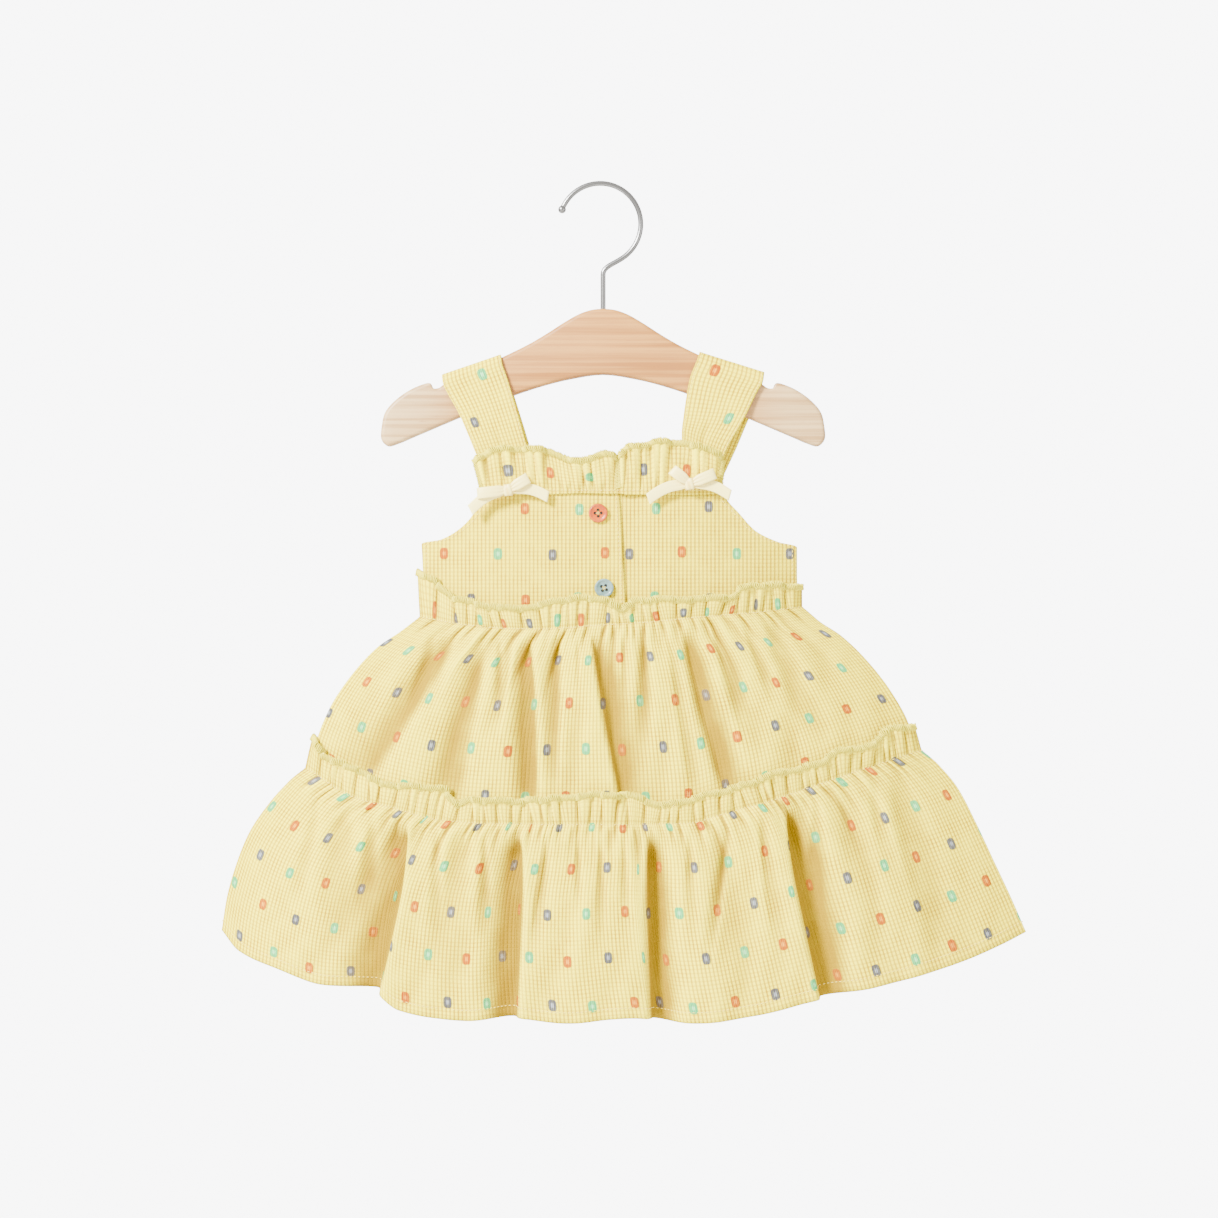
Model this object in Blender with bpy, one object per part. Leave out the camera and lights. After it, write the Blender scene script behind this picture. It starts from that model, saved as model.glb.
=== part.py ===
"""A child's sundress hanging on a flat wooden hanger, front towards -Y.

Every piece that is cut and sewn is one closed cloth wall. The origin is the inside of the
hook's crown, where a rail carries it. Sizes are in millimetres, and solid() makes them metres.
"""
from collections import namedtuple
from math import cos, exp, hypot, pi, radians, sin

import bmesh
import bpy
from mathutils import Vector

MM = 0.001

# Thicknesses and clearances
CLOTH = 1.2
STRAP_CLOTH = 2.0
RIBBON = 0.9
GAP = 0.3
LAYER = CLOTH + GAP
SIDE_SEAM = (CLOTH + GAP) / 2
SEAM_ALLOWANCE = 3.0

# Hook
WIRE_RADIUS = 1.75
HOOK_RADIUS = 27.5
HOOK_START = radians(159)
HOOK_END = radians(-57)
HOOK_BALL = 2.65
HOOK_STEPS = 22
BALL_STEPS = 4
WIRE_SIDES = 8
STEM_X = 2.0
STEM_TOP_Z = -60.0
BORE_RADIUS = 2.05
BORE_DEPTH = 25.0

# Hanger, as half of its outline: distance from the stem and drop below the crown
HANGER_CROWN = -83.3
HANGER_THICKNESS = 11.0
HANGER_ROUNDING = 2.8
Outline = namedtuple("Outline", "out drop")
HANGER_TOP = [
    Outline(0.0, 0.0), Outline(7.4, 0.6), Outline(15.9, 3.4), Outline(26.6, 9.4), Outline(37.3, 16.3),
    Outline(48.0, 22.7), Outline(58.6, 28.2), Outline(83.8, 39.9), Outline(107.9, 51.3),
    Outline(110.6, 53.3), Outline(114.6, 53.7), Outline(116.6, 50.3), Outline(124.6, 52.0),
    Outline(134.7, 57.4), Outline(142.7, 64.1), Outline(147.4, 70.4), Outline(149.4, 78.8),
    Outline(149.7, 88.2), Outline(145.4, 92.7),
]
HANGER_BOTTOM = [
    Outline(138.0, 90.9), Outline(129.3, 87.2), Outline(98.5, 74.1), Outline(77.1, 65.1),
    Outline(59.0, 58.0), Outline(38.9, 51.5), Outline(22.0, 47.4), Outline(0.0, 44.4),
]

# Hollow form of the dress: how far front and back stand from the side seams' plane
FLATTEN = 3.0
Level = namedtuple("Level", "z left right depth")
BODICE_LEVELS = [
    Level(-190.0, -120.5, 133.0, 14.8), Level(-242.0, -120.5, 133.0, 17.0),
    Level(-270.0, -119.5, 133.0, 17.4), Level(-310.0, -117.5, 133.5, 16.4),
]

# Bodice: armhole and side edge, then the front opening
Edge = namedtuple("Edge", "x z")
NECK_EDGE = -203.0
LEFT_EDGE = [
    Edge(-80.4, NECK_EDGE), Edge(-81.7, -214.3), Edge(-86.4, -223.7), Edge(-95.1, -232.4),
    Edge(-107.2, -239.1), Edge(-120.5, -242.1), Edge(-119.5, -262.0), Edge(-118.5, -280.0),
]
RIGHT_EDGE = [
    Edge(81.7, NECK_EDGE), Edge(85.1, -212.0), Edge(93.8, -222.0), Edge(105.2, -233.8),
    Edge(119.3, -240.5), Edge(133.0, -244.5), Edge(133.0, -260.0), Edge(133.2, -276.0),
]
LAP_EDGE_TOP = 12.4
LAP_EDGE_BOTTOM = 16.8
UNDERLAP = 27.0
UNDERLAP_EASE = (18.0, 40.0)
BODICE_COLUMNS = 10
BACK_COLUMNS = 18

# Gathered lines and edges of the tiers: place across the width, 0 to 1, and height
Rim = namedtuple("Rim", "across z")
WAIST_GATHER = [
    Rim(0.0, -291.4), Rim(0.1, -296.1), Rim(0.21, -298.8), Rim(0.31, -299.4), Rim(0.47, -296.7),
    Rim(0.6, -294.7), Rim(0.73, -291.4), Rim(0.89, -288.0), Rim(1.0, -284.7),
]
WAIST_HEADER = [
    Rim(0.0, -260.6), Rim(0.036, -268.6), Rim(0.087, -278.0), Rim(0.164, -282.7), Rim(0.256, -285.5),
    Rim(0.351, -280.7), Rim(0.41, -278.3), Rim(0.482, -279.3), Rim(0.531, -285.5), Rim(0.577, -280.0),
    Rim(0.731, -278.7), Rim(0.803, -278.0), Rim(0.844, -271.3), Rim(0.928, -269.6), Rim(1.0, -270.6),
]
LOWER_GATHER = [
    Rim(0.0, -393.9), Rim(0.067, -411.3), Rim(0.141, -419.4), Rim(0.22, -427.4), Rim(0.298, -429.4),
    Rim(0.489, -430.1), Rim(0.625, -429.0), Rim(0.673, -423.7), Rim(0.732, -417.3),
    Rim(0.821, -405.3), Rim(0.899, -394.6), Rim(1.0, -381.8),
]
LOWER_HEADER = [
    Rim(0.0, -372.1), Rim(0.026, -385.5), Rim(0.077, -393.9), Rim(0.127, -402.9), Rim(0.211, -406.0),
    Rim(0.241, -416.0), Rim(0.264, -413.3), Rim(0.353, -414.0), Rim(0.422, -411.3), Rim(0.487, -409.3),
    Rim(0.526, -410.0), Rim(0.574, -416.2), Rim(0.624, -413.0), Rim(0.673, -408.0), Rim(0.732, -402.9),
    Rim(0.768, -395.9), Rim(0.842, -388.6), Rim(0.871, -381.2), Rim(0.926, -376.5), Rim(0.955, -366.8),
    Rim(1.0, -365.1),
]
HEM = [
    Rim(0.0, -503.0), Rim(0.022, -516.5), Rim(0.076, -528.3), Rim(0.128, -537.5), Rim(0.185, -539.5),
    Rim(0.224, -553.2), Rim(0.27, -558.2), Rim(0.307, -559.7), Rim(0.357, -557.6), Rim(0.429, -561.1),
    Rim(0.507, -557.6), Rim(0.585, -561.1), Rim(0.66, -556.2), Rim(0.736, -546.4), Rim(0.812, -538.0),
    Rim(0.908, -524.3), Rim(0.965, -512.8), Rim(1.0, -504.3),
]

# Tiers: side outline and hollow depth down the tier, 0 at its gathers and 1 at its lower edge
Girth = namedtuple("Girth", "down left right depth")
UPPER_GIRTH = [
    Girth(0.0, -122.0, 137.5, 19.6), Girth(0.1, -135.3, 148.1, 22.0), Girth(0.2, -150.4, 162.8, 24.0),
    Girth(0.4, -169.2, 182.6, 26.0), Girth(0.6, -182.6, 197.3, 26.5), Girth(0.8, -191.0, 208.0, 26.0),
    Girth(1.0, -196.0, 214.0, 25.0),
]
LOWER_GIRTH = [
    Girth(0.0, -202.0, 220.0, 29.0), Girth(0.2, -222.4, 241.2, 34.0), Girth(0.4, -237.3, 254.1, 38.0),
    Girth(0.6, -246.1, 265.6, 40.0), Girth(0.8, -252.2, 277.1, 41.5), Girth(1.0, -255.6, 287.8, 42.0),
]
UPPER_ROWS = (0.07, 0.2, 0.36, 0.52, 0.68, 0.84, 1.03)
LOWER_ROWS = (0.06, 0.16, 0.3, 0.46, 0.64, 0.82, 1.0)

# Hanging folds: x at the gathers and at the lower edge, half width, depth, how far the
# trough leans sideways under the next ridge, and the stretch of the tier where it shows
Fold = namedtuple("Fold", "top hem width depth lean start end")
UPPER_FRONT_FOLDS = [
    Fold(-95.0, -172.0, 11.0, 5.0, 2.0, 0.0, 1.0), Fold(-75.0, -100.0, 9.0, 4.5, 1.0, 0.1, 0.9),
    Fold(-49.0, -46.5, 8.0, 7.5, 1.0, 0.0, 1.0), Fold(-31.0, -30.0, 7.0, 2.5, 0.0, 0.0, 0.5),
    Fold(9.0, 12.0, 9.0, 6.5, -1.0, 0.05, 1.0), Fold(29.0, 30.5, 6.0, 3.0, 0.0, 0.0, 0.35),
    Fold(56.0, 92.0, 9.0, 5.5, -2.0, 0.0, 0.95), Fold(112.0, 160.0, 9.0, 3.5, -1.5, 0.0, 0.6),
]
UPPER_BACK_FOLDS = [
    Fold(-100.0, -160.0, 11.0, 5.0, 2.0, 0.0, 1.0), Fold(-66.0, -92.0, 9.0, 5.0, 1.0, 0.0, 0.8),
    Fold(-24.0, -33.0, 8.0, 7.0, 1.0, 0.0, 1.0), Fold(14.0, 12.0, 8.0, 4.0, 0.0, 0.1, 0.6),
    Fold(38.0, 52.0, 9.0, 6.5, -1.0, 0.0, 1.0), Fold(80.0, 112.0, 9.0, 4.5, -1.5, 0.1, 0.9),
    Fold(112.0, 168.0, 10.0, 4.5, -2.0, 0.0, 0.8),
]
LOWER_FRONT_FOLDS = [
    Fold(-170.0, -182.0, 12.0, 4.0, 0.0, 0.0, 0.5), Fold(-127.0, -146.0, 11.0, 13.0, 6.0, 0.02, 1.0),
    Fold(-91.0, -104.0, 12.0, 4.0, 0.0, 0.0, 0.7), Fold(-54.0, -60.0, 13.0, 14.0, 2.0, 0.0, 1.0),
    Fold(0.0, 0.0, 8.0, 3.0, 0.0, 0.0, 0.4), Fold(31.5, 37.5, 11.0, 14.0, -1.0, 0.0, 1.0),
    Fold(80.0, 92.0, 11.0, 4.0, 0.0, 0.0, 0.6), Fold(125.0, 155.0, 12.0, 14.0, -5.0, 0.0, 1.0),
    Fold(163.0, 190.0, 10.0, 4.0, 0.0, 0.0, 0.4), Fold(198.0, 236.0, 12.0, 5.0, -2.0, 0.05, 0.8),
]
LOWER_BACK_FOLDS = [
    Fold(-165.0, -190.0, 13.0, 8.0, 3.0, 0.0, 1.0), Fold(-118.0, -128.0, 12.0, 12.0, 3.0, 0.0, 1.0),
    Fold(-72.0, -84.0, 11.0, 5.0, 0.0, 0.0, 0.6), Fold(-34.0, -40.0, 13.0, 14.0, 2.0, 0.0, 1.0),
    Fold(10.0, 8.0, 10.0, 5.0, 0.0, 0.0, 0.6), Fold(52.0, 60.0, 13.0, 13.0, -2.0, 0.0, 1.0),
    Fold(98.0, 118.0, 11.0, 6.0, -1.0, 0.0, 0.7), Fold(146.0, 172.0, 13.0, 13.0, -4.0, 0.0, 1.0),
    Fold(190.0, 225.0, 12.0, 5.0, -2.0, 0.0, 0.8),
]

# Gathers: waves in the standing header of each tier and in the neck ruffle
WAIST_WAVES = 32
LOWER_WAVES = 56
UPPER_COLUMNS = 48
LOWER_COLUMNS = 60
GATHER_SWELL = 0.6
HEADER_SWELL = 2.4
HEADER_FLARE = 1.2
HEADER_END = 4.2
HEADER_ROWS = (1.0, 0.5, 0.0)
SLOPE_STEP = 0.012

# Neck ruffle: stitched across the bodice, standing free above it
RUFFLE_STITCH = -206.3
RUFFLE_ROWS = (-0.1, 0.0, 0.3, 0.65, 1.0)
RUFFLE_SWELL = 2.6
RUFFLE_FLARE = 1.5
STEPS_PER_WAVE = 4
RUFFLE_TOP = [
    Edge(-84.5, -186.0), Edge(-75.0, -180.0), Edge(-65.3, -177.9), Edge(-47.6, -178.2),
    Edge(-36.9, -178.6), Edge(-27.7, -181.7), Edge(-14.7, -186.4), Edge(-3.0, -184.0),
    Edge(4.0, -181.5), Edge(12.0, -184.0), Edge(17.8, -177.0), Edge(32.2, -176.1),
    Edge(38.9, -173.2), Edge(52.3, -173.5), Edge(68.3, -177.5), Edge(79.1, -182.2), Edge(82.0, -187.0),
]
RuffleHalf = namedtuple("RuffleHalf", "name foot_left foot_right top_left top_right waves")
RUFFLES = [
    RuffleHalf("neck_ruffle_lap", -79.4, 12.2, -84.5, 11.8, 7),
    RuffleHalf("neck_ruffle_under", 12.8, 81.0, 12.4, 82.0, 5),
]

# Straps: a band that lies over the hanger. Each section gives the two ends of the band
# across, as seen from the front, and how far it stands from the middle plane
Band = namedtuple("Band", "left_x left_z right_x right_z stand")
LEFT_STRAP_FRONT = [
    Band(-106.5, -128.2, -67.0, -114.7, 0.0), Band(-106.5, -128.5, -67.0, -115.0, 3.2),
    Band(-106.4, -130.3, -66.6, -116.8, 6.2), Band(-106.0, -133.4, -66.2, -119.9, 7.2),
    Band(-102.5, -141.0, -63.3, -128.5, 7.3), Band(-95.2, -154.1, -58.3, -144.8, 8.6),
    Band(-83.8, -180.8, -49.6, -174.8, 11.4), Band(-75.5, -200.0, -42.5, -198.0, 0.0),
    Band(-70.4, -213.0, -38.9, -211.7, 0.0),
]
LEFT_STRAP_BACK = [
    Band(-106.5, -128.5, -67.0, -115.0, 3.2), Band(-106.4, -130.3, -66.6, -116.8, 6.2),
    Band(-106.0, -133.4, -66.2, -119.9, 7.2), Band(-102.0, -141.0, -62.5, -128.5, 7.3),
    Band(-94.2, -154.1, -57.2, -144.8, 8.6), Band(-82.0, -180.8, -48.0, -174.8, 11.4),
    Band(-74.5, -200.0, -41.5, -198.0, 0.0), Band(-70.0, -213.0, -38.5, -211.7, 0.0),
]
RIGHT_STRAP_FRONT = [
    Band(67.0, -112.9, 110.6, -126.6, 0.0), Band(67.0, -113.2, 110.6, -126.9, 3.2),
    Band(66.4, -115.0, 110.4, -128.7, 6.2), Band(65.4, -118.1, 110.0, -131.8, 7.2),
    Band(60.5, -131.0, 105.5, -140.5, 7.3), Band(56.3, -155.6, 97.0, -158.0, 8.8),
    Band(54.9, -168.8, 84.5, -180.5, 11.2), Band(55.5, -196.0, 78.5, -199.0, 0.0),
    Band(56.3, -213.0, 75.0, -213.0, 0.0),
]
RIGHT_STRAP_BACK = [
    Band(67.0, -113.2, 110.6, -126.9, 3.2), Band(66.4, -115.0, 110.5, -128.7, 6.2),
    Band(65.4, -118.1, 110.3, -131.8, 7.2), Band(62.5, -131.0, 107.5, -142.0, 7.3),
    Band(59.5, -150.0, 100.5, -158.0, 8.8), Band(56.5, -170.0, 92.5, -177.0, 11.2),
    Band(55.5, -196.0, 82.5, -198.5, 0.0), Band(55.5, -213.0, 76.5, -213.0, 0.0),
]
STRAP_COLUMNS = 4

# Buttons, seen from the front
BUTTON_RADIUS = 6.4
BUTTON_THICKNESS = 2.2
BUTTON_RIM = 1.3
BUTTON_DISH = 0.6
BUTTON_EDGE = 0.5
BUTTON_HOLE = 0.8
BUTTON_HOLE_SPREAD = 1.55
BUTTON_SIDES = 24
Button = namedtuple("Button", "name x z turn colour")
BUTTONS = [
    Button("button_coral", -1.3, -221.7, radians(0), (0.86, 0.31, 0.15)),
    Button("button_blue", 2.7, -272.0, radians(45), (0.55, 0.62, 0.58)),
]

# Bows of narrow ribbon: direction and length of each loop and tail from the knot
RIBBON_WIDTH = 6.2
KNOT_HALF = (3.6, 2.3, 4.2)
KNOT_ROUNDING = 1.4
LOOP_FRONT = 2.8
LOOP_BACK = 0.5
LIMB_LIFT = 1.2
KNOT_CLEAR = 1.2
LOOP_STEPS = 8
TAIL_STEPS = 4
RIBBON_PINCH = 0.58
RIBBON_SPREAD = 6.0
TAIL_CURL = 0.5
Bow = namedtuple("Bow", "name x z loops tails")
Limb = namedtuple("Limb", "angle length droop")
BOWS = [
    Bow("bow_left", -61.3, -206.3, [Limb(radians(184), 21.0, 2.0), Limb(radians(28), 15.5, 2.0)],
        [Limb(radians(208), 29.0, -3.0), Limb(radians(-10), 27.0, 3.0)]),
    Bow("bow_right", 60.3, -202.3, [Limb(radians(138), 15.5, 2.0), Limb(radians(20), 18.0, 2.0)],
        [Limb(radians(200), 30.0, -3.0), Limb(radians(-16), 28.0, 3.0)]),
]

YELLOW = (0.93, 0.83, 0.45)
WOOD = (0.79, 0.55, 0.38)
STEEL = (0.45, 0.45, 0.44)
CREAM = (0.97, 0.88, 0.62)


def mix(a, b, t):
    return a + (b - a) * t


def ease(low, high, t):
    """0 below low, 1 above high, and a smooth rise between them."""
    t = min(max((t - low) / (high - low), 0.0), 1.0)
    return t * t * (3 - 2 * t)


def through(table, t, column=1):
    """The value at t on a smooth curve through one column of a table, whose first column rises or falls."""
    places = [row[0] for row in table]
    values = [row[column] for row in table]
    if places[0] > places[-1]:
        places.reverse()
        values.reverse()
    t = min(max(t, places[0]), places[-1])
    i = max(k for k in range(len(places) - 1) if k == 0 or places[k] <= t)
    step = places[i + 1] - places[i]
    rise = (values[i + 1] - values[i]) / step

    def slope(k):
        if k == 0 or k == len(places) - 1:
            return rise
        before = (values[k] - values[k - 1]) / (places[k] - places[k - 1])
        after = (values[k + 1] - values[k]) / (places[k + 1] - places[k])
        return 0.0 if before * after <= 0 else 2 * before * after / (before + after)

    u = (t - places[i]) / step
    bend = u * u * (3 - 2 * u)
    start = u * (1 - u) ** 2 * step * slope(i)
    stop = u * u * (u - 1) * step * slope(i + 1)
    return mix(values[i], values[i + 1], bend) + start + stop


def material(name, colour, roughness, metallic=0.0):
    made = bpy.data.materials.new(name)
    made.use_nodes = True
    shader = made.node_tree.nodes["Principled BSDF"]
    shader.inputs["Base Color"].default_value = (*colour, 1.0)
    shader.inputs["Roughness"].default_value = roughness
    shader.inputs["Metallic"].default_value = metallic
    return made


def solid(name, points, faces, finish, smooth=True):
    """A mesh object, in metres, from points in millimetres."""
    mesh = bpy.data.meshes.new(name)
    mesh.from_pydata([Vector(p) * MM for p in points], [], faces)
    made = bpy.data.objects.new(name, mesh)
    bpy.context.collection.objects.link(made)
    mesh.materials.append(finish)
    if smooth:
        mesh.shade_smooth()
    return made


def point_outwards(thing):
    """Turn every face of a closed mesh outwards."""
    shape = bmesh.new()
    shape.from_mesh(thing.data)
    bmesh.ops.recalc_face_normals(shape, faces=shape.faces)
    shape.to_mesh(thing.data)
    shape.free()


def apply_modifiers(thing):
    """Keep the shape that the modifiers give, and remove them."""
    evaluated = thing.evaluated_get(bpy.context.evaluated_depsgraph_get())
    mesh = bpy.data.meshes.new_from_object(evaluated)
    thing.modifiers.clear()
    thing.data = mesh


def cut_or_join(thing, other, operation):
    step = thing.modifiers.new(operation.lower(), "BOOLEAN")
    step.operation = operation
    step.object = other
    step.solver = "EXACT"
    apply_modifiers(thing)
    bpy.data.objects.remove(other, do_unlink=True)


# A sheet is a list of rows from top to bottom, each a list of (place across, point).
# Rows may differ in their number of points: a gathered row has more than the cloth below it.

def sheet_faces(rows):
    faces = []
    start = 0
    for upper, lower in zip(rows, rows[1:]):
        low_start = start + len(upper)
        i = 0
        j = 0
        while i < len(upper) - 1 or j < len(lower) - 1:
            next_upper = upper[i + 1][0] if i < len(upper) - 1 else 9.0
            next_lower = lower[j + 1][0] if j < len(lower) - 1 else 9.0
            if abs(next_upper - next_lower) < 1e-6:
                faces.append((start + i, low_start + j, low_start + j + 1, start + i + 1))
                i += 1
                j += 1
            elif next_upper < next_lower:
                faces.append((start + i, low_start + j, start + i + 1))
                i += 1
            else:
                faces.append((start + i, low_start + j, low_start + j + 1))
                j += 1
        start = low_start
    return faces


def cloth_wall(name, rows, thickness, finish, towards):
    """A sheet given its thickness to both sides. towards is -1 for a front piece, 1 for a back piece."""
    points = [point for row in rows for _, point in row]
    faces = sheet_faces(rows)
    if towards > 0:
        faces = [tuple(reversed(face)) for face in faces]
    wall = solid(name, points, faces, finish)
    shell = wall.modifiers.new("thickness", "SOLIDIFY")
    shell.thickness = thickness * MM
    shell.offset = 0.0
    return wall


def bodice_depth(x, z):
    """How far the bodice's middle surface stands from the plane of the side seams."""
    left = through(BODICE_LEVELS, z, 1)
    right = through(BODICE_LEVELS, z, 2)
    across = abs(2 * x - left - right) / (right - left)
    return SIDE_SEAM + through(BODICE_LEVELS, z, 3) * max(1 - across ** FLATTEN, 0.0)


def waist_height(x):
    """Lower edge of the bodice, hidden behind the gathers."""
    left = UPPER_GIRTH[0].left
    across = (x - left) / (UPPER_GIRTH[0].right - left)
    return through(WAIST_GATHER, across) - SEAM_ALLOWANCE


def bodice_panel(name, left, right, towards, inset, finish):
    """A panel ruled between two edges, each a list of points from the neck down to the waist."""
    rows = []
    for a, b in zip(left, right):
        row = []
        for column in range(BODICE_COLUMNS + 1):
            t = column / BODICE_COLUMNS
            x = mix(a.x, b.x, t)
            z = mix(a.z, b.z, t)
            row.append((t, (x, towards * (bodice_depth(x, z) - inset(x)), z)))
        rows.append(row)
    last = []
    for t, (x, y, z) in rows[-1]:
        z = waist_height(x)
        last.append((t, (x, towards * (bodice_depth(x, z) - inset(x)), z)))
    rows.append(last)
    return cloth_wall(name, rows, CLOTH, finish, towards)


def straight_edge(top_x, bottom_x, beside):
    """Points down a straight edge, level with the lower rows of the curved edge beside it."""
    count = len(beside)
    low = beside[-1].z
    heights = [mix(NECK_EDGE, low, k / (count - 1)) for k in range(count)]
    return [Edge(mix(top_x, bottom_x, (z - NECK_EDGE) / (low - NECK_EDGE)), z) for z in heights]


def lap_inset(x):
    """The lap lies level over its whole width."""
    return 0.0


def underlap_inset(x):
    """The under panel dips behind the lap, and comes back level beside it."""
    return LAYER * (1 - ease(*UNDERLAP_EASE, x))


def back_point(left, right, t):
    x = mix(left.x, right.x, t)
    z = mix(left.z, right.z, t)
    return (t, (x, bodice_depth(x, z), z))


def make_bodice():
    lap = straight_edge(LAP_EDGE_TOP, LAP_EDGE_BOTTOM, LEFT_EDGE)
    under = straight_edge(LAP_EDGE_TOP - UNDERLAP, LAP_EDGE_BOTTOM - UNDERLAP, RIGHT_EDGE)
    bodice_panel("bodice_front_lap", LEFT_EDGE, lap, -1, lap_inset, material("lap cloth", YELLOW, 0.9))
    bodice_panel("bodice_front_under", under, RIGHT_EDGE, -1, underlap_inset,
                 material("underlap cloth", YELLOW, 0.9))
    rows = []
    for left, right in zip(LEFT_EDGE, RIGHT_EDGE):
        rows.append([back_point(left, right, k / BACK_COLUMNS) for k in range(BACK_COLUMNS + 1)])
    rows.append([(t, (x, bodice_depth(x, waist_height(x)), waist_height(x))) for t, (x, _, _) in rows[-1]])
    cloth_wall("bodice_back", rows, CLOTH, material("back cloth", YELLOW, 0.9), 1)


def fold_push(folds, x, down):
    """Sideways lean and depth of all the folds' troughs at one place of a tier."""
    lean = 0.0
    sink = 0.0
    for fold in folds:
        strength = ease(fold.start - 0.12, fold.start + 0.22, down)
        if fold.end < 1.0:
            strength *= 1 - ease(fold.end - 0.1, fold.end + 0.3, down)
        away = (x - mix(fold.top, fold.hem, down)) / fold.width
        trough = strength * exp(-away * away)
        lean += fold.lean * trough
        sink += fold.depth * trough
    return lean, sink


Tier = namedtuple("Tier", "girth gather edge folds swing")


def tier_point(tier, across, down, towards):
    """A point of a tier's middle surface below its gathers."""
    s = 2 * across - 1
    hold = 1 - s ** 8
    x = mix(through(tier.girth, down, 1), through(tier.girth, down, 2), across)
    z = mix(through(tier.gather, across), through(tier.edge, across), down)
    lean, sink = fold_push(tier.folds, x, down)
    calm = ease(0.0, 0.3, down) * (1 - ease(0.75, 1.0, down) * tier.swing)
    depth = through(tier.girth, down, 3) * (1 - abs(s) ** FLATTEN)
    return (x + lean * hold * calm, towards * (SIDE_SEAM + depth - sink * hold * calm), z)


def tier_rows(tier, downs, columns, towards):
    return [[(k / columns, tier_point(tier, k / columns, down, towards)) for k in range(columns + 1)]
            for down in downs]


def on_sheet(rows, downs, across, down):
    """The point at a place of a sheet whose rows have equal columns, on its flat facets."""
    columns = len(rows[0]) - 1
    place = min(max(across, 0.0), 1.0) * columns
    i = min(int(place), columns - 1)
    j = max([k for k in range(len(downs) - 1) if downs[k] <= down] or [0])
    t = place - i
    u = (down - downs[j]) / (downs[j + 1] - downs[j])
    upper = Vector(rows[j][i][1]).lerp(Vector(rows[j][i + 1][1]), t)
    lower = Vector(rows[j + 1][i][1]).lerp(Vector(rows[j + 1][i + 1][1]), t)
    return upper.lerp(lower, u)


def outward(place, across, down, towards):
    """Unit direction out of a sheet, square to its slope across."""
    side = place(min(across + SLOPE_STEP, 1.0), down) - place(max(across - SLOPE_STEP, 0.0), down)
    return Vector((-towards * side.y, towards * side.x, 0.0)).normalized()


def header_rows(below, waves, gather, top, to_down, towards):
    """Rows of a gathered header, stood off the layer below it, whose point is below(across, down)."""
    columns = waves * 2
    rows = []
    for up in HEADER_ROWS:
        row = []
        for k in range(columns + 1):
            across = k / columns
            crest = k % 2
            z = mix(through(gather, across), through(top, across), up)
            down = to_down(across, z)
            foot = below(across, down)
            swell = mix(GATHER_SWELL, HEADER_SWELL * (0.8 + 0.2 * sin(1.7 * k)), up)
            out = LAYER + HEADER_FLARE * up + 2 * swell * crest
            if k in (0, columns):
                end = -1 if k == 0 else 1
                point = Vector((foot.x + end * HEADER_END, towards * SIDE_SEAM, foot.z))
            else:
                point = foot + outward(below, across, down, towards) * out
            row.append((across, tuple(point)))
        rows.append(row)
    return rows


def make_upper_tier(name, folds, towards):
    tier = Tier(UPPER_GIRTH, WAIST_GATHER, LOWER_GATHER, folds, 0.75)

    def bodice_place(across, down):
        left = through(BODICE_LEVELS, down, 1)
        right = through(BODICE_LEVELS, down, 2)
        x = mix(left, right, across)
        return Vector((x, towards * bodice_depth(x, down), down))

    header = header_rows(bodice_place, WAIST_WAVES, WAIST_GATHER, WAIST_HEADER,
                         lambda across, z: z, towards)
    skirt = tier_rows(tier, UPPER_ROWS, UPPER_COLUMNS, towards)
    cloth_wall(name, header + skirt, CLOTH, material(name + " cloth", YELLOW, 0.9), towards)
    return skirt


def make_lower_tier(name, folds, upper, towards):
    tier = Tier(LOWER_GIRTH, LOWER_GATHER, HEM, folds, 0.0)

    def upper_place(across, down):
        return on_sheet(upper, UPPER_ROWS, across, down)

    def to_down(across, z):
        top = through(WAIST_GATHER, across)
        return (z - top) / (through(LOWER_GATHER, across) - top)

    header = header_rows(upper_place, LOWER_WAVES, LOWER_GATHER, LOWER_HEADER, to_down, towards)
    skirt = tier_rows(tier, LOWER_ROWS, LOWER_COLUMNS, towards)
    cloth_wall(name, header + skirt, CLOTH, material(name + " cloth", YELLOW, 0.9), towards)


def ruffle_offset(up, wave):
    """How far the neck ruffle stands off the bodice's middle surface."""
    free = max(up, 0.0)
    swell = mix(GATHER_SWELL, RUFFLE_SWELL, free)
    return LAYER + RUFFLE_FLARE * free + swell * (1 - cos(2 * pi * wave))


def make_ruffle(half):
    columns = half.waves * STEPS_PER_WAVE
    rows = []
    for up in reversed(RUFFLE_ROWS):
        row = []
        for k in range(columns + 1):
            t = k / columns
            foot_x = mix(half.foot_left, half.foot_right, t)
            top_x = mix(half.top_left, half.top_right, t)
            x = mix(foot_x, top_x, max(up, 0.0))
            z = mix(RUFFLE_STITCH, through(RUFFLE_TOP, top_x), up)
            out = bodice_depth(x, min(z, NECK_EDGE)) + ruffle_offset(up, k / STEPS_PER_WAVE)
            row.append((t, (x, -out, z)))
        rows.append(row)
    cloth_wall(half.name, rows, CLOTH, material(half.name + " cloth", YELLOW, 0.9), -1)


def band_row(band, towards):
    """Points across one section of a strap. A band with no stand of its own lies inside the bodice."""
    row = []
    for column in range(STRAP_COLUMNS + 1):
        t = column / STRAP_COLUMNS
        x = mix(band.left_x, band.right_x, t)
        z = mix(band.left_z, band.right_z, t)
        stand = band.stand
        if z < NECK_EDGE + 10:
            stand = bodice_depth(x, z) - CLOTH / 2 - GAP - STRAP_CLOTH / 2
        row.append((t, (x, towards * stand, z)))
    return row


def make_strap(name, front, back):
    rows = [band_row(band, -1) for band in reversed(front)]
    rows += [band_row(band, 1) for band in back]
    cloth_wall(name, rows, STRAP_CLOTH, material(name + " cloth", YELLOW, 0.9), 1)


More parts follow.
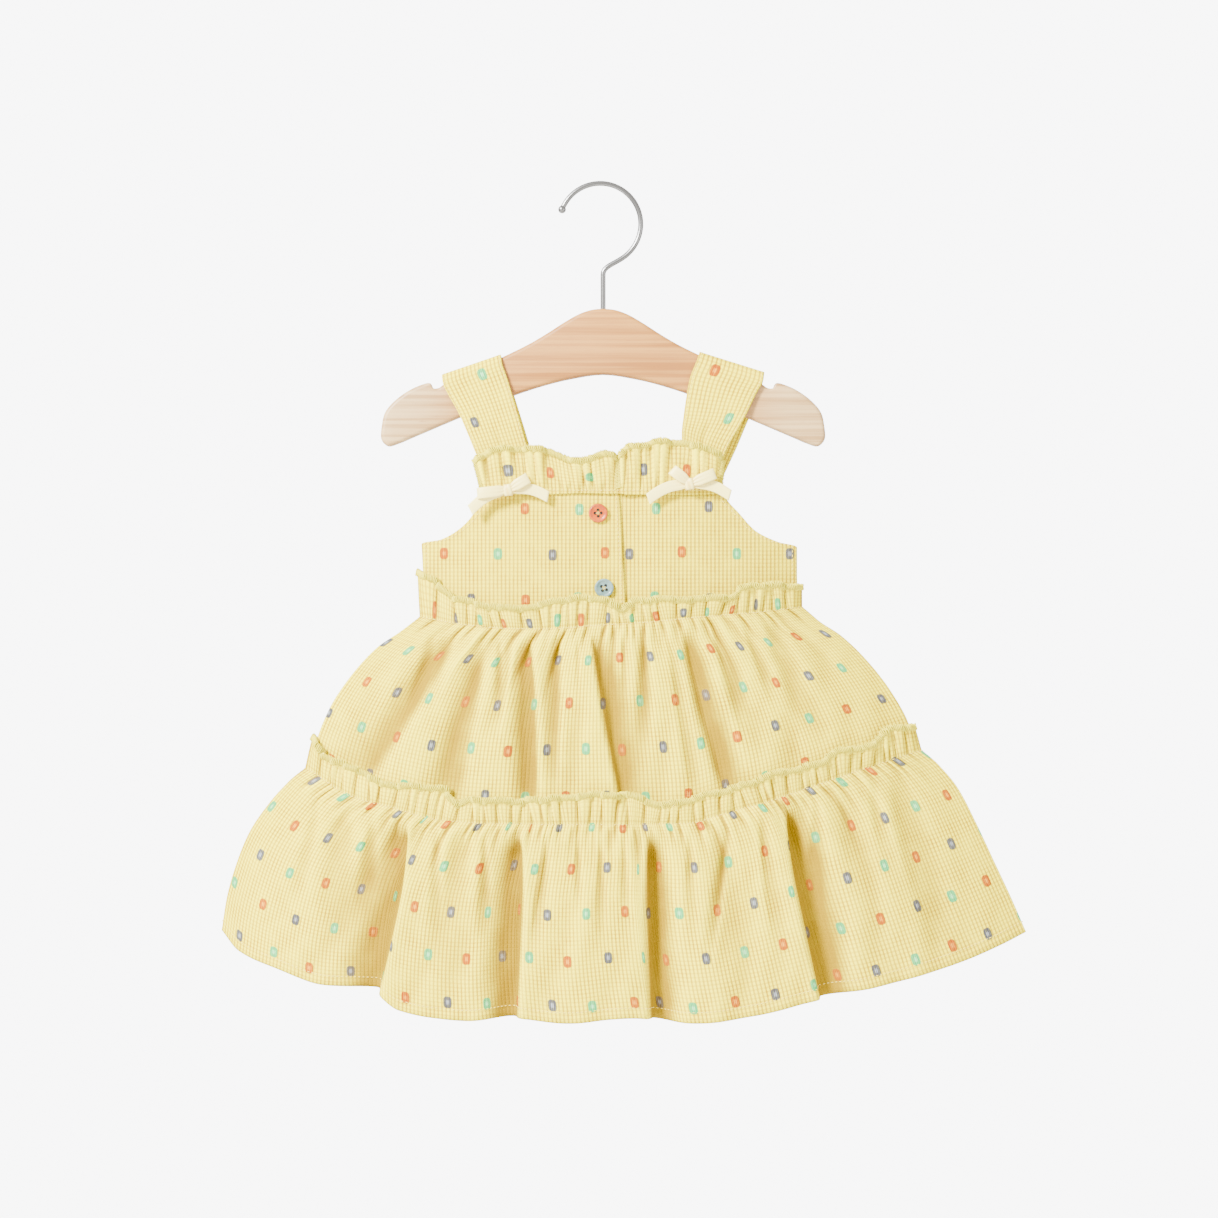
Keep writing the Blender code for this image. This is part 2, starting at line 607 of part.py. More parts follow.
def make_hanger():
    right = HANGER_TOP + HANGER_BOTTOM
    left = [Outline(-p.out, p.drop) for p in reversed(right) if p.out > 0]
    outline = [(STEM_X + p.out, HANGER_CROWN - p.drop) for p in right + left]
    half = HANGER_THICKNESS / 2
    count = len(outline)
    points = [(x, -half, z) for x, z in outline] + [(x, half, z) for x, z in outline]
    faces = [tuple(reversed(range(count)))]
    faces.append(tuple(range(count, 2 * count)))
    for k in range(count):
        n = (k + 1) % count
        faces.append((k, n, n + count, k + count))
    wood = solid("hanger_wood", points, faces, material("beech", WOOD, 0.45), smooth=False)
    point_outwards(wood)
    shape = bmesh.new()
    shape.from_mesh(wood.data)
    rims = [edge for edge in shape.edges if abs(edge.verts[0].co.y - edge.verts[1].co.y) < half * MM / 2]
    bmesh.ops.bevel(shape, geom=rims, offset=HANGER_ROUNDING * MM, segments=2, profile=0.5,
                    affect="EDGES", clamp_overlap=False)
    shape.to_mesh(wood.data)
    shape.free()
    bpy.ops.mesh.primitive_cylinder_add(vertices=12, radius=BORE_RADIUS * MM, depth=2 * BORE_DEPTH * MM,
                                        location=(STEM_X * MM, 0, HANGER_CROWN * MM))
    cut_or_join(wood, bpy.context.object, "DIFFERENCE")
    wood.data.set_sharp_from_angle(angle=radians(40))


def hook_path():
    """Centre points of the wire with its radius, from the ball end down into the wood."""
    centre_z = WIRE_RADIUS - HOOK_RADIUS
    route = []

    def round_the_crown(angle, radius):
        route.append((HOOK_RADIUS * cos(angle), centre_z + HOOK_RADIUS * sin(angle), radius))

    for k in range(BALL_STEPS):
        turn = pi * (1 - (k + 0.3) / (BALL_STEPS + 0.6))
        round_the_crown(HOOK_START - HOOK_BALL * cos(turn) / HOOK_RADIUS, HOOK_BALL * sin(turn))
    neck = HOOK_START - HOOK_BALL / HOOK_RADIUS
    for k in range(HOOK_STEPS + 1):
        round_the_crown(mix(neck, HOOK_END, k / HOOK_STEPS), WIRE_RADIUS)
    bend_x, bend_z, _ = route[-1]
    route.append((mix(bend_x, STEM_X, 0.78), mix(bend_z, STEM_TOP_Z, 0.38), WIRE_RADIUS))
    route.append((mix(bend_x, STEM_X, 0.96), mix(bend_z, STEM_TOP_Z, 0.66), WIRE_RADIUS))
    route.append((STEM_X, STEM_TOP_Z, WIRE_RADIUS))
    route.append((STEM_X, HANGER_CROWN - BORE_DEPTH + GAP, WIRE_RADIUS))
    return route


def make_hook():
    route = hook_path()
    sides = WIRE_SIDES
    points = []
    for k, (x, z, radius) in enumerate(route):
        before = route[max(k - 1, 0)]
        after = route[min(k + 1, len(route) - 1)]
        run = (after[0] - before[0], after[1] - before[1])
        length = hypot(*run)
        across = (run[1] / length, -run[0] / length)
        for side in range(sides):
            angle = 2 * pi * side / sides
            out = radius * cos(angle)
            points.append((x + across[0] * out, radius * sin(angle), z + across[1] * out))
    faces = [tuple(range(sides)), tuple(range(len(points) - 1, len(points) - sides - 1, -1))]
    for k in range(len(route) - 1):
        for side in range(sides):
            a = k * sides + side
            b = k * sides + (side + 1) % sides
            faces.append((a, a + sides, b + sides, b))
    hook = solid("hanger_hook", points, faces, material("bright steel", STEEL, 0.25, 1.0))
    point_outwards(hook)


def make_button(button):
    """A four-hole button, turned and then drilled, lying on the lap."""
    face = BUTTON_THICKNESS - BUTTON_DISH
    rings = [
        (BUTTON_RADIUS - BUTTON_RIM - BUTTON_EDGE, face), (BUTTON_RADIUS - BUTTON_RIM, BUTTON_THICKNESS),
        (BUTTON_RADIUS - BUTTON_EDGE, BUTTON_THICKNESS), (BUTTON_RADIUS, BUTTON_THICKNESS - BUTTON_EDGE),
        (BUTTON_RADIUS - BUTTON_EDGE, BUTTON_EDGE / 2), (BUTTON_RADIUS - 2 * BUTTON_EDGE, 0.0),
    ]
    seat = -(bodice_depth(button.x, button.z) + CLOTH / 2 + GAP)
    points = []
    faces = []
    for radius, height in rings:
        for side in range(BUTTON_SIDES):
            angle = 2 * pi * side / BUTTON_SIDES
            points.append((button.x + radius * cos(angle), seat - height, button.z + radius * sin(angle)))
    for ring in range(len(rings) - 1):
        for side in range(BUTTON_SIDES):
            a = ring * BUTTON_SIDES + side
            b = ring * BUTTON_SIDES + (side + 1) % BUTTON_SIDES
            faces.append((a, a + BUTTON_SIDES, b + BUTTON_SIDES, b))
    faces.append(tuple(range(BUTTON_SIDES)))
    last = (len(rings) - 1) * BUTTON_SIDES
    faces.append(tuple(reversed(range(last, last + BUTTON_SIDES))))
    disc = solid(button.name, points, faces, material(button.name, button.colour, 0.3))
    point_outwards(disc)
    for k in range(4):
        angle = button.turn + k * pi / 2
        place = (button.x + BUTTON_HOLE_SPREAD * cos(angle), seat - BUTTON_THICKNESS / 2,
                 button.z + BUTTON_HOLE_SPREAD * sin(angle))
        bpy.ops.mesh.primitive_cylinder_add(vertices=6, radius=BUTTON_HOLE * MM,
                                            depth=3 * BUTTON_THICKNESS * MM,
                                            location=Vector(place) * MM, rotation=(pi / 2, 0, 0))
        cut_or_join(disc, bpy.context.object, "DIFFERENCE")
    disc.data.set_sharp_from_angle(angle=radians(35))


def ribbon_width(out):
    """The ribbon is pinched in the knot and spreads out beyond it."""
    return RIBBON_WIDTH * mix(RIBBON_PINCH, 1.0, ease(0.0, RIBBON_SPREAD, out))


def ribbon_strip(name, route, across, finish):
    """A flat ribbon along a route of points, its width lying along the direction across."""
    rows = []
    for point, width in route:
        half = across * (width / 2)
        rows.append([(0.0, tuple(point - half)), (1.0, tuple(point + half))])
    strip = solid(name, [p for row in rows for _, p in row], sheet_faces(rows), finish, smooth=False)
    shell = strip.modifiers.new("thickness", "SOLIDIFY")
    shell.thickness = RIBBON * MM
    shell.offset = 0.0
    apply_modifiers(strip)
    return strip


def make_bow(bow):
    finish = material(bow.name + " ribbon", CREAM, 0.35)
    crest = LAYER + CLOTH / 2 + 2 * GATHER_SWELL + GAP
    knot_y = -(bodice_depth(bow.x, bow.z) + crest + KNOT_HALF[1] + KNOT_CLEAR)
    centre = Vector((bow.x, knot_y, bow.z))
    bpy.ops.mesh.primitive_cube_add(size=2, location=centre * MM,
                                    scale=[half * MM for half in KNOT_HALF])
    bpy.ops.object.transform_apply(location=True, rotation=False, scale=True)
    knot = bpy.context.object
    knot.name = bow.name
    knot.data.materials.append(finish)
    rounding = knot.modifiers.new("rounding", "BEVEL")
    rounding.width = KNOT_ROUNDING * MM
    rounding.segments = 2
    apply_modifiers(knot)
    for limb in bow.loops:
        along = Vector((cos(limb.angle), 0, sin(limb.angle)))
        across = Vector((-sin(limb.angle), 0, cos(limb.angle)))
        route = []
        for k in range(LOOP_STEPS + 1):
            turn = 2 * pi * k / LOOP_STEPS
            out = limb.length * (1 - cos(turn)) / 2
            lift = (LOOP_FRONT if k < LOOP_STEPS / 2 else LOOP_BACK) * sin(turn) * sin(turn / 2)
            point = centre + along * out + Vector((0, -LIMB_LIFT - lift, 0))
            route.append((point, ribbon_width(out)))
        loop = ribbon_strip("loop", route, across, finish)
        cut_or_join(knot, loop, "UNION")
    for limb in bow.tails:
        along = Vector((cos(limb.angle), 0, sin(limb.angle)))
        across = Vector((-sin(limb.angle), 0, cos(limb.angle)))
        route = []
        for k in range(TAIL_STEPS + 1):
            t = k / TAIL_STEPS
            bend = sin(pi * t)
            point = centre + along * (limb.length * t) + across * (limb.droop * bend)
            point.y += TAIL_CURL * bend - LIMB_LIFT
            route.append((point, ribbon_width(limb.length * t)))
        tail = ribbon_strip("tail", route, across, finish)
        cut_or_join(knot, tail, "UNION")


def main():
    for old in list(bpy.data.objects):
        bpy.data.objects.remove(old, do_unlink=True)
    make_hanger()
    make_hook()
    make_strap("strap_left", LEFT_STRAP_FRONT, LEFT_STRAP_BACK)
    make_strap("strap_right", RIGHT_STRAP_FRONT, RIGHT_STRAP_BACK)
    make_bodice()
    for half in RUFFLES:
        make_ruffle(half)
    front = make_upper_tier("upper_tier_front", UPPER_FRONT_FOLDS, -1)
    back = make_upper_tier("upper_tier_back", UPPER_BACK_FOLDS, 1)
    make_lower_tier("lower_tier_front", LOWER_FRONT_FOLDS, front, -1)
    make_lower_tier("lower_tier_back", LOWER_BACK_FOLDS, back, 1)
    for button in BUTTONS:
        make_button(button)
    for bow in BOWS:
        make_bow(bow)


main()
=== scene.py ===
# %% [markdown]
# A child's sundress on a wooden hanger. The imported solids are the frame: they say how large each
# piece is and where it hangs. This file dresses them. Lengths are in millimetres until a mesh is
# made, because a maker measures cloth so, and the front of the dress faces -Y.

# %% Load the frame
from collections import namedtuple
from math import cos, pi, radians, sin

import bmesh
import bpy
import numpy as np
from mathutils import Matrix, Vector


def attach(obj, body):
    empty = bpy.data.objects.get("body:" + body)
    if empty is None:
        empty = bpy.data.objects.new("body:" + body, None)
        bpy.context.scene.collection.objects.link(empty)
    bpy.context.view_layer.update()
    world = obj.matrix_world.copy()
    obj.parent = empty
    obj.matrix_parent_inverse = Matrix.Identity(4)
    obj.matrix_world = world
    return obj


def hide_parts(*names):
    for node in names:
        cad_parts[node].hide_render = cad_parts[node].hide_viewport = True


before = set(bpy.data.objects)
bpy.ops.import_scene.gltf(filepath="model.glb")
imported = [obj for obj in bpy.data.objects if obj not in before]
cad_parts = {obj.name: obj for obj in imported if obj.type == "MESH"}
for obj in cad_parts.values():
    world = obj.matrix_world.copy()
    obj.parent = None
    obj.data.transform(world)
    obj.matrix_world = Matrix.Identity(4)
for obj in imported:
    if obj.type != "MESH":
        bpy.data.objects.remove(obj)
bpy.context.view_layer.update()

MM = 0.001
BODY = "root"

# %% [markdown]
# The camera looks straight at the front, as in the photograph. A pixel is 0.67 mm on a plane just
# before the middle of the dress, and the lens is worked out from that, so the frame matches the
# photograph at any size of render.

# %% Camera
PIXEL = 0.67
PHOTO_PIXELS = 1218
SENSOR = 36.0
DISTANCE = 2200.0
SHARP_PLANE = -20.0
AIM = (6.0, -286.0)

camera_data = bpy.data.cameras.new("camera")
camera_data.sensor_width = SENSOR
camera_data.lens = SENSOR * DISTANCE / (PIXEL * PHOTO_PIXELS)
camera = bpy.data.objects.new("camera", camera_data)
camera.location = Vector((AIM[0], SHARP_PLANE - DISTANCE, AIM[1])) * MM
camera.rotation_euler = (radians(90), 0, 0)
bpy.context.collection.objects.link(camera)
bpy.context.scene.camera = camera
print("lens", round(camera_data.lens, 1), "mm")

# %% [markdown]
# Node maths reads like arithmetic. A Signal wraps a socket, and each operator adds the Math node
# that does it. Nodes.add() makes any other node, in a material, a world or a geometry tree.

# %% Node helpers
class Signal:
    """A value that varies over a surface, as a socket of a node tree."""

    def __init__(self, nodes, socket):
        self.nodes = nodes
        self.socket = socket

    def math(self, operation, *values):
        sockets = dict(enumerate(values))
        return self.nodes.add("ShaderNodeMath", {"operation": operation}, sockets)

    def __add__(self, other):
        return self.math("ADD", self, other)

    __radd__ = __add__

    def __sub__(self, other):
        return self.math("SUBTRACT", self, other)

    def __rsub__(self, other):
        return self.math("SUBTRACT", other, self)

    def __mul__(self, other):
        return self.math("MULTIPLY", self, other)

    __rmul__ = __mul__

    def __truediv__(self, other):
        return self.math("DIVIDE", self, other)

    def __rtruediv__(self, other):
        return self.math("DIVIDE", other, self)

    def __pow__(self, other):
        return self.math("POWER", self, other)

    def __abs__(self):
        return self.math("ABSOLUTE", self)

    def rounded(self):
        return self.math("ROUND", self)

    def remainder(self, step):
        return self.math("FLOORED_MODULO", self, step)

    def sine(self):
        return self.math("SINE", self)

    def most(self, other):
        return self.math("MAXIMUM", self, other)

    def least(self, other):
        return self.math("MINIMUM", self, other)

    def rise(self, low, high):
        """0 at low, 1 at high and smooth between them. low may be the larger."""
        sockets = {"Value": self, "From Min": low, "From Max": high}
        return self.nodes.add("ShaderNodeMapRange", {"interpolation_type": "SMOOTHSTEP"}, sockets)


class Nodes:
    """A node tree that is being filled."""

    def __init__(self, tree):
        self.tree = tree

    def add(self, kind, settings=None, sockets=None, out=0):
        """A new node: its settings come first, then the values and links of its sockets."""
        node = self.tree.nodes.new(kind)
        for key, value in (settings or {}).items():
            setattr(node, key, value)
        for key, value in (sockets or {}).items():
            self.plug(node.inputs[key], value)
        return Signal(self, node.outputs[out])

    def plug(self, socket, value):
        if isinstance(value, Signal):
            self.tree.links.new(value.socket, socket)
        else:
            socket.default_value = value


class Finish(Nodes):
    """One material, with a Principled BSDF whose constant sockets are set by name."""

    def __init__(self, name, **constants):
        self.material = bpy.data.materials.new(name)
        self.material.use_nodes = True
        super().__init__(self.material.node_tree)
        self.shader = self.tree.nodes["Principled BSDF"]
        for socket, value in constants.items():
            self.shader.inputs[socket.replace("_", " ")].default_value = value

    def blend(self, factor, first, second):
        """A colour between two others. Sockets 6 and 7 of a Mix node are its colours."""
        sockets = {0: factor, 6: first, 7: second}
        return self.add("ShaderNodeMix", {"data_type": "RGBA"}, sockets, out=2)

    def noise(self, place, scale, detail=2.0, stretch=None):
        if stretch:
            place = self.add("ShaderNodeMapping", {}, {"Vector": place, "Scale": stretch})
        sockets = {"Vector": place, "Scale": scale, "Detail": detail}
        return self.add("ShaderNodeTexNoise", {}, sockets)

    def split(self, place):
        node = self.add("ShaderNodeSeparateXYZ", {}, {"Vector": place}).socket.node
        return [Signal(self, socket) for socket in node.outputs]

    def set(self, socket, value):
        self.plug(self.shader.inputs[socket], value)

    def raise_by(self, height, strength=1.0):
        """height is in metres."""
        sockets = {"Height": height, "Strength": strength, "Distance": 1.0}
        self.set("Normal", self.add("ShaderNodeBump", {}, sockets))


def paint(red, green, blue):
    """A colour as a screen shows it, 0 to 255, turned into light."""
    light = []
    for value in (red, green, blue):
        share = value / 255
        light.append(((share + 0.055) / 1.055) ** 2.4 if value > 10 else share / 12.92)
    return (*light, 1.0)


# %% [markdown]
# The tufts are small ovals in coral, mint and blue grey, woven in on a half-drop repeat: every
# second column starts half a step lower. They could be modelled one by one, but they are nearly
# flat and there are hundreds, so they belong to the finish. A lattice rounds the flat place to the
# nearest tuft and measures how far away that is. Two lattices, one of them shifted, give the half
# drop. Each tuft wanders a little, as on a real loom.

# %% Tufts
REPEAT_ACROSS = 36.2
REPEAT_DOWN = 30.4
TUFT_HALF = (2.9, 3.9)
TUFT_SQUARENESS = 3.2
TUFT_EDGE = (1.1, 0.9)
TUFT_MIDDLE = (0.15, 0.6)
TUFT_WANDER = (0.6, 0.8)


def tuft_lattice(finish, across, down, shift_across, shift_down, first_colour):
    """One of the two lattices of tufts: its body, its rim and which colour it takes."""
    crowd = finish.add("ShaderNodeAttribute", {"attribute_name": "crowd"}, out=2)
    repeat = REPEAT_ACROSS / crowd
    across = across - shift_across / crowd
    down = down - shift_down
    column = (across / repeat).rounded()
    row = (down / (2 * REPEAT_DOWN)).rounded()
    wander = (column * 2.3 + row * 4.1).sine()
    x = across - column * repeat - wander * TUFT_WANDER[0]
    y = down - row * (2 * REPEAT_DOWN) + wander * TUFT_WANDER[1]
    round_x = (abs(x) / TUFT_HALF[0]) ** TUFT_SQUARENESS
    round_y = (abs(y) / TUFT_HALF[1]) ** TUFT_SQUARENESS
    reach = (round_x + round_y) ** (1 / TUFT_SQUARENESS)
    body = reach.rise(*TUFT_EDGE)
    rim = reach.rise(*TUFT_MIDDLE)
    return body, rim, (column + first_colour).remainder(3.0)


# %% [markdown]
# The cloth is a light cotton waffle: lines of a deeper yellow cross every 2.7 mm, a little lower
# than the cream cells between them. A painted picture of cloth could be laid on. Here the pattern
# is reckoned from the flat cloth's own sizes instead, so it stays sharp and bunches up wherever the
# cloth is gathered, as a woven pattern does. The attribute hollow says how deep in a fold a point
# lies, and the colour paints light and shade by it: light that bounces between two walls of yellow
# cloth comes back yellower, so hollows get a painted shade, deeper in colour, and ridges get a
# painted highlight.

# %% Cloth finish
CHECK = 2.7
THREADS_IN_CHECK = 6
UP_SHARPNESS = 2.6
SIDE_SHARPNESS = 3.2
HIGHLIGHT_SHARE = 0.7
TUFT_COVER = 0.92
LINE_SUNK = 0.0003
THREAD_RISE = 0.00003
SLUB_RISE = 0.00006
TUFT_RISE = 0.00022

GROUND = paint(251, 234, 5)
LINE = paint(170, 133, 0)
# The next two colours are painted light: a painted highlight for the ridges of folds and a painted shade for
# their hollows.
PAINTED_HIGHLIGHT = paint(255, 240, 24)
PAINTED_SHADE = paint(152, 122, 0)
CORAL = (paint(156, 54, 2), paint(232, 150, 50))
MINT = (paint(16, 156, 92), paint(140, 226, 156))
BLUE_GREY = (paint(38, 46, 70), paint(142, 152, 166))


def cloth_finish(name):
    finish = Finish(name, Specular_IOR_Level=0.06)
    flat = finish.add("ShaderNodeUVMap", {"uv_map": "flat"})
    u, v, _ = finish.split(flat)
    across = u * 1000
    down = v * 1000
    relief = finish.add("ShaderNodeAttribute", {"attribute_name": "hollow"}, out=2)
    hollow = relief.most(0.0)
    ridge = (relief * -1).most(0.0)

    patchy = finish.noise(flat, 70.0, 3.0)
    slub = finish.noise(flat, 1.0, 2.0, stretch=(90.0, 900.0, 1.0))
    sway = (patchy - 0.5) * 0.5
    up_line = (((across + sway) * (2 * pi / CHECK)).sine() * 0.5 + 0.5) ** UP_SHARPNESS
    side_line = (((down + sway) * (2 * pi / CHECK)).sine() * 0.5 + 0.5) ** SIDE_SHARPNESS
    line = (up_line * 1.05 + side_line * 0.5).least(1.0)
    weave = 2 * pi / (CHECK / THREADS_IN_CHECK)
    thread = (across * weave).sine() * (down * weave).sine()

    colour = finish.blend(line * (patchy * 0.9 + 0.35), GROUND, LINE)
    # Painted highlight on ridges, then painted shade in hollows, both set by the hollow attribute.
    colour = finish.blend(ridge * HIGHLIGHT_SHARE, colour, PAINTED_HIGHLIGHT)
    colour = finish.blend((hollow * (0.85 + 0.3 * patchy)).least(1.0), colour, PAINTED_SHADE)
    body = None
    for shift, first_colour in (((0.0, 0.0), 0.0), ((REPEAT_ACROSS / 2, REPEAT_DOWN), 2.0)):
        mask, rim, which = tuft_lattice(finish, across, down, *shift, first_colour)
        streak = (across * (2 * pi / 1.3)).sine() * 0.3 + (patchy - 0.5) * 0.7
        shade = (rim * 0.75 + 0.3 + streak).least(1.0).most(0.0)
        tints = [finish.blend(shade, inside, outline) for outline, inside in (CORAL, MINT, BLUE_GREY)]
        tint = finish.blend(which.rise(0.4, 0.6), tints[0], tints[1])
        tint = finish.blend(which.rise(1.4, 1.6), tint, tints[2])
        # The tufts take some of the painted shade in hollows too.
        tint = finish.blend(hollow * 0.3, tint, PAINTED_SHADE)
        colour = finish.blend(mask * TUFT_COVER, colour, tint)
        body = mask if body is None else body.most(mask)
    finish.set("Base Color", colour)
    finish.set("Roughness", 0.86 - 0.08 * slub)
    finish.raise_by(line * -LINE_SUNK + thread * THREAD_RISE + slub * SLUB_RISE + body * TUFT_RISE, 0.9)
    return finish.material


cloth = cloth_finish("checked cotton")
print(cloth.name, len(cloth.node_tree.nodes), "nodes")

# %% [markdown]
# Smooth curves through short tables give every outline. Bezier curves could do it, but they swing
# past their points. Here the slopes are chosen so that the curve never overshoots between two rows
# of a table, which matters where layers lie a millimetre apart. The values are numpy arrays, so a
# whole sheet is worked out at once.

# %% Curves
def mix(a, b, t):
    return a + (b - a) * t


def ease(low, high, t):
    """0 below low, 1 above high, and a smooth rise between them."""
    t = np.clip((np.asarray(t, float) - low) / (high - low), 0.0, 1.0)
    return t * t * (3 - 2 * t)


def through(table, t, column=1):
    """Values at t on a smooth curve through one column of a table whose first column is the place."""
    rows = sorted(table, key=lambda row: row[0])
    places = np.array([row[0] for row in rows], float)
    values = np.array([row[column] for row in rows], float)
    t = np.clip(np.asarray(t, float), places[0], places[-1])
    i = np.clip(np.searchsorted(places, t, side="right") - 1, 0, len(places) - 2)
    step = np.diff(places)
    rise = np.diff(values) / step
    slope = np.zeros(len(places))
    slope[0] = rise[0]
    slope[-1] = rise[-1]
    before = rise[:-1]
    after = rise[1:]
    total = np.where(before * after > 0, before + after, 1.0)
    slope[1:-1] = np.where(before * after > 0, 2 * before * after / total, 0.0)
    u = (t - places[i]) / step[i]
    bend = u * u * (3 - 2 * u)
    start = u * (1 - u) ** 2 * step[i] * slope[i]
    stop = u * u * (u - 1) * step[i] * slope[i + 1]
    return mix(values[i], values[i + 1], bend) + start + stop


# %% [markdown]
# Each piece of cloth starts as a grid of points in rows and columns. A grid knows which way its
# cloth faces, how long each row is and how it swells beside its neighbours, and these helpers
# measure that. A mesh could be asked instead, but it would first have to be made.

# %% Grids of points
def grid(*values):
    """One grid of points from the values of each axis, some of which may be single rows or columns."""
    return np.stack(np.broadcast_arrays(*values), axis=-1)


def outward(points, towards):
    """Unit directions out of a grid of points, from the slopes along its rows and columns."""
    along = np.gradient(points, axis=1)
    down = np.gradient(points, axis=0)
    out = np.cross(down, along)
    out /= np.maximum(np.linalg.norm(out, axis=2, keepdims=True), 1e-9)
    return out * np.where(out[..., 1:2] * towards < 0, -1.0, 1.0)


def smooth_along(values, width):
    """A moving average along the rows, which keeps its length by repeating the end values."""
    kernel = np.hanning(width + 2)[1:-1]
    kernel /= kernel.sum()
    padded = np.pad(values, ((0, 0), (width // 2, width - 1 - width // 2)), mode="edge")
    return np.array([np.convolve(row, kernel, mode="valid") for row in padded])


def relief(lift, span, deepest):
    """How hollow each point is beside its neighbours in the row: -1 on a ridge, 1 in a deep trough."""
    return np.clip((smooth_along(lift, span) - lift) / deepest, -1.0, 1.0)


def lengths_along(points):
    """Running length along each row of a grid, from its first point."""
    steps = np.linalg.norm(np.diff(points, axis=1), axis=2)
    return np.concatenate([np.zeros((len(points), 1)), np.cumsum(steps, axis=1)], axis=1)


# %% [markdown]
# A sheet of cloth is a grid of points with a flat place for each of them. A cloth simulation could
# hang it, but gathers as tight as these would need far more points than a reusable part should
# have, and no fold would fall where the real one does. So each sheet is shaped by given curves.
# Solidify gives it its thickness at the end, on both sides of the grid, so the layers keep the
# room that the solids leave between them.

# %% Sheets
CLOTH = 0.8

Tuft = namedtuple("Tuft", "x z number side")
ANYWHERE = Tuft(0.0, 0.0, 0, 0)
OTHER_SIDE = 1e3


def flat_place(points, flat, tuft, crowd):
    """Where the tufts are counted from, so that the tuft of that number lies at its x and z."""
    away = np.hypot(points[..., 0] - tuft.x, points[..., 2] - tuft.z)
    away = away + OTHER_SIDE * (points[..., 1] * tuft.side < 0)
    row, column = np.unravel_index(np.argmin(away), away.shape)
    return flat[row, column] - np.array([tuft.number * REPEAT_ACROSS / crowd, 0.0])


def sheet_mesh(name, points, flat, hollow, towards, material, thickness=CLOTH, tuft=ANYWHERE, crowd=1.0):
    """A cloth sheet. points and flat are grids in millimetres, and hollow says how deep in a fold a
    point lies, which sets the cloth's painted shade, or its painted highlight where it is below 0.
    crowd is how many times closer gathers bring the tufts, while each tuft keeps its own width."""
    rows, columns, _ = points.shape
    index = np.arange(rows * columns).reshape(rows, columns)
    corners = [index[:-1, :-1], index[1:, :-1], index[1:, 1:], index[:-1, 1:]]
    faces = np.stack(corners if towards < 0 else corners[::-1], axis=-1).reshape(-1, 4)
    name = name.replace("_", "-")
    mesh = bpy.data.meshes.new(name)
    mesh.from_pydata((points.reshape(-1, 3) * MM).tolist(), [], faces.tolist())
    places = (flat.reshape(-1, 2) - flat_place(points, flat, tuft, crowd)) * MM
    loops = np.empty(len(mesh.loops), int)
    mesh.loops.foreach_get("vertex_index", loops)
    mesh.uv_layers.new(name="flat").data.foreach_set("uv", places[loops].ravel())
    for attribute, values in (("hollow", hollow), ("crowd", np.full((rows, columns), crowd))):
        mesh.attributes.new(attribute, "FLOAT", "POINT").data.foreach_set("value", values.ravel())
    mesh.materials.append(material)
    mesh.shade_smooth()
    piece = bpy.data.objects.new(name, mesh)
    bpy.context.collection.objects.link(piece)
    shell = piece.modifiers.new("thickness", "SOLIDIFY")
    shell.thickness = thickness * MM
    shell.offset = 0.0
    return piece


def piece_area(points):
    """Area of a grid in square metres."""
    along = points[:-1, 1:] - points[:-1, :-1]
    down = points[1:, :-1] - points[:-1, :-1]
    return float(np.linalg.norm(np.cross(along, down), axis=-1).sum()) * MM * MM


def declare(piece, node, area=None):
    """Put a finished cloth piece in place of its solid. area, the size it was cut to, is not used."""
    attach(piece, BODY)
    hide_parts(node)


# %% [markdown]
# The bodice sets the form that every layer lies on. Seen from above, front and back are two
# shallow arcs that meet at the side seams, because a hanging dress falls almost flat. The tables
# are the solids' own: side edges, gathers, headers, hem and girths. across runs from 0 at the left
# side seam to 1 at the right one, and down from 0 at a tier's stitches to 1 at its lower edge.

# %% Form of the dress
LAYER = 1.5
SIDE_SEAM = 0.42
FLATTEN = 3.0
NECK_EDGE = -203.0
SEAM_ALLOWANCE = 3.0

Level = namedtuple("Level", "z left right depth")
BODICE_LEVELS = [
    Level(-190.0, -120.5, 133.0, 14.8), Level(-242.0, -120.5, 133.0, 17.0),
    Level(-270.0, -119.5, 133.0, 17.4), Level(-310.0, -117.5, 133.5, 16.4),
]
Edge = namedtuple("Edge", "x z")
LEFT_EDGE = [
    Edge(-80.4, NECK_EDGE), Edge(-81.7, -214.3), Edge(-86.4, -223.7), Edge(-95.1, -232.4),
    Edge(-107.2, -239.1), Edge(-120.5, -242.1), Edge(-119.5, -262.0), Edge(-118.5, -280.0),
]
RIGHT_EDGE = [
    Edge(81.7, NECK_EDGE), Edge(85.1, -212.0), Edge(93.8, -222.0), Edge(105.2, -233.8),
    Edge(119.3, -240.5), Edge(133.0, -244.5), Edge(133.0, -260.0), Edge(133.2, -276.0),
]
Rim = namedtuple("Rim", "across z")
WAIST_GATHER = [
    Rim(0.0, -291.4), Rim(0.1, -296.1), Rim(0.21, -298.8), Rim(0.31, -299.4), Rim(0.47, -296.7),
    Rim(0.6, -294.7), Rim(0.73, -291.4), Rim(0.89, -288.0), Rim(1.0, -284.7),
]
WAIST_HEADER = [
    Rim(0.0, -260.6), Rim(0.036, -268.6), Rim(0.087, -278.0), Rim(0.164, -282.7), Rim(0.256, -285.5),
    Rim(0.351, -280.7), Rim(0.41, -278.3), Rim(0.482, -279.3), Rim(0.531, -285.5), Rim(0.577, -280.0),
    Rim(0.731, -278.7), Rim(0.803, -278.0), Rim(0.844, -271.3), Rim(0.928, -269.6), Rim(1.0, -270.6),
]
LOWER_GATHER = [
    Rim(0.0, -393.9), Rim(0.067, -411.3), Rim(0.141, -419.4), Rim(0.22, -427.4), Rim(0.298, -429.4),
    Rim(0.489, -430.1), Rim(0.625, -429.0), Rim(0.673, -423.7), Rim(0.732, -417.3),
    Rim(0.821, -405.3), Rim(0.899, -394.6), Rim(1.0, -381.8),
]
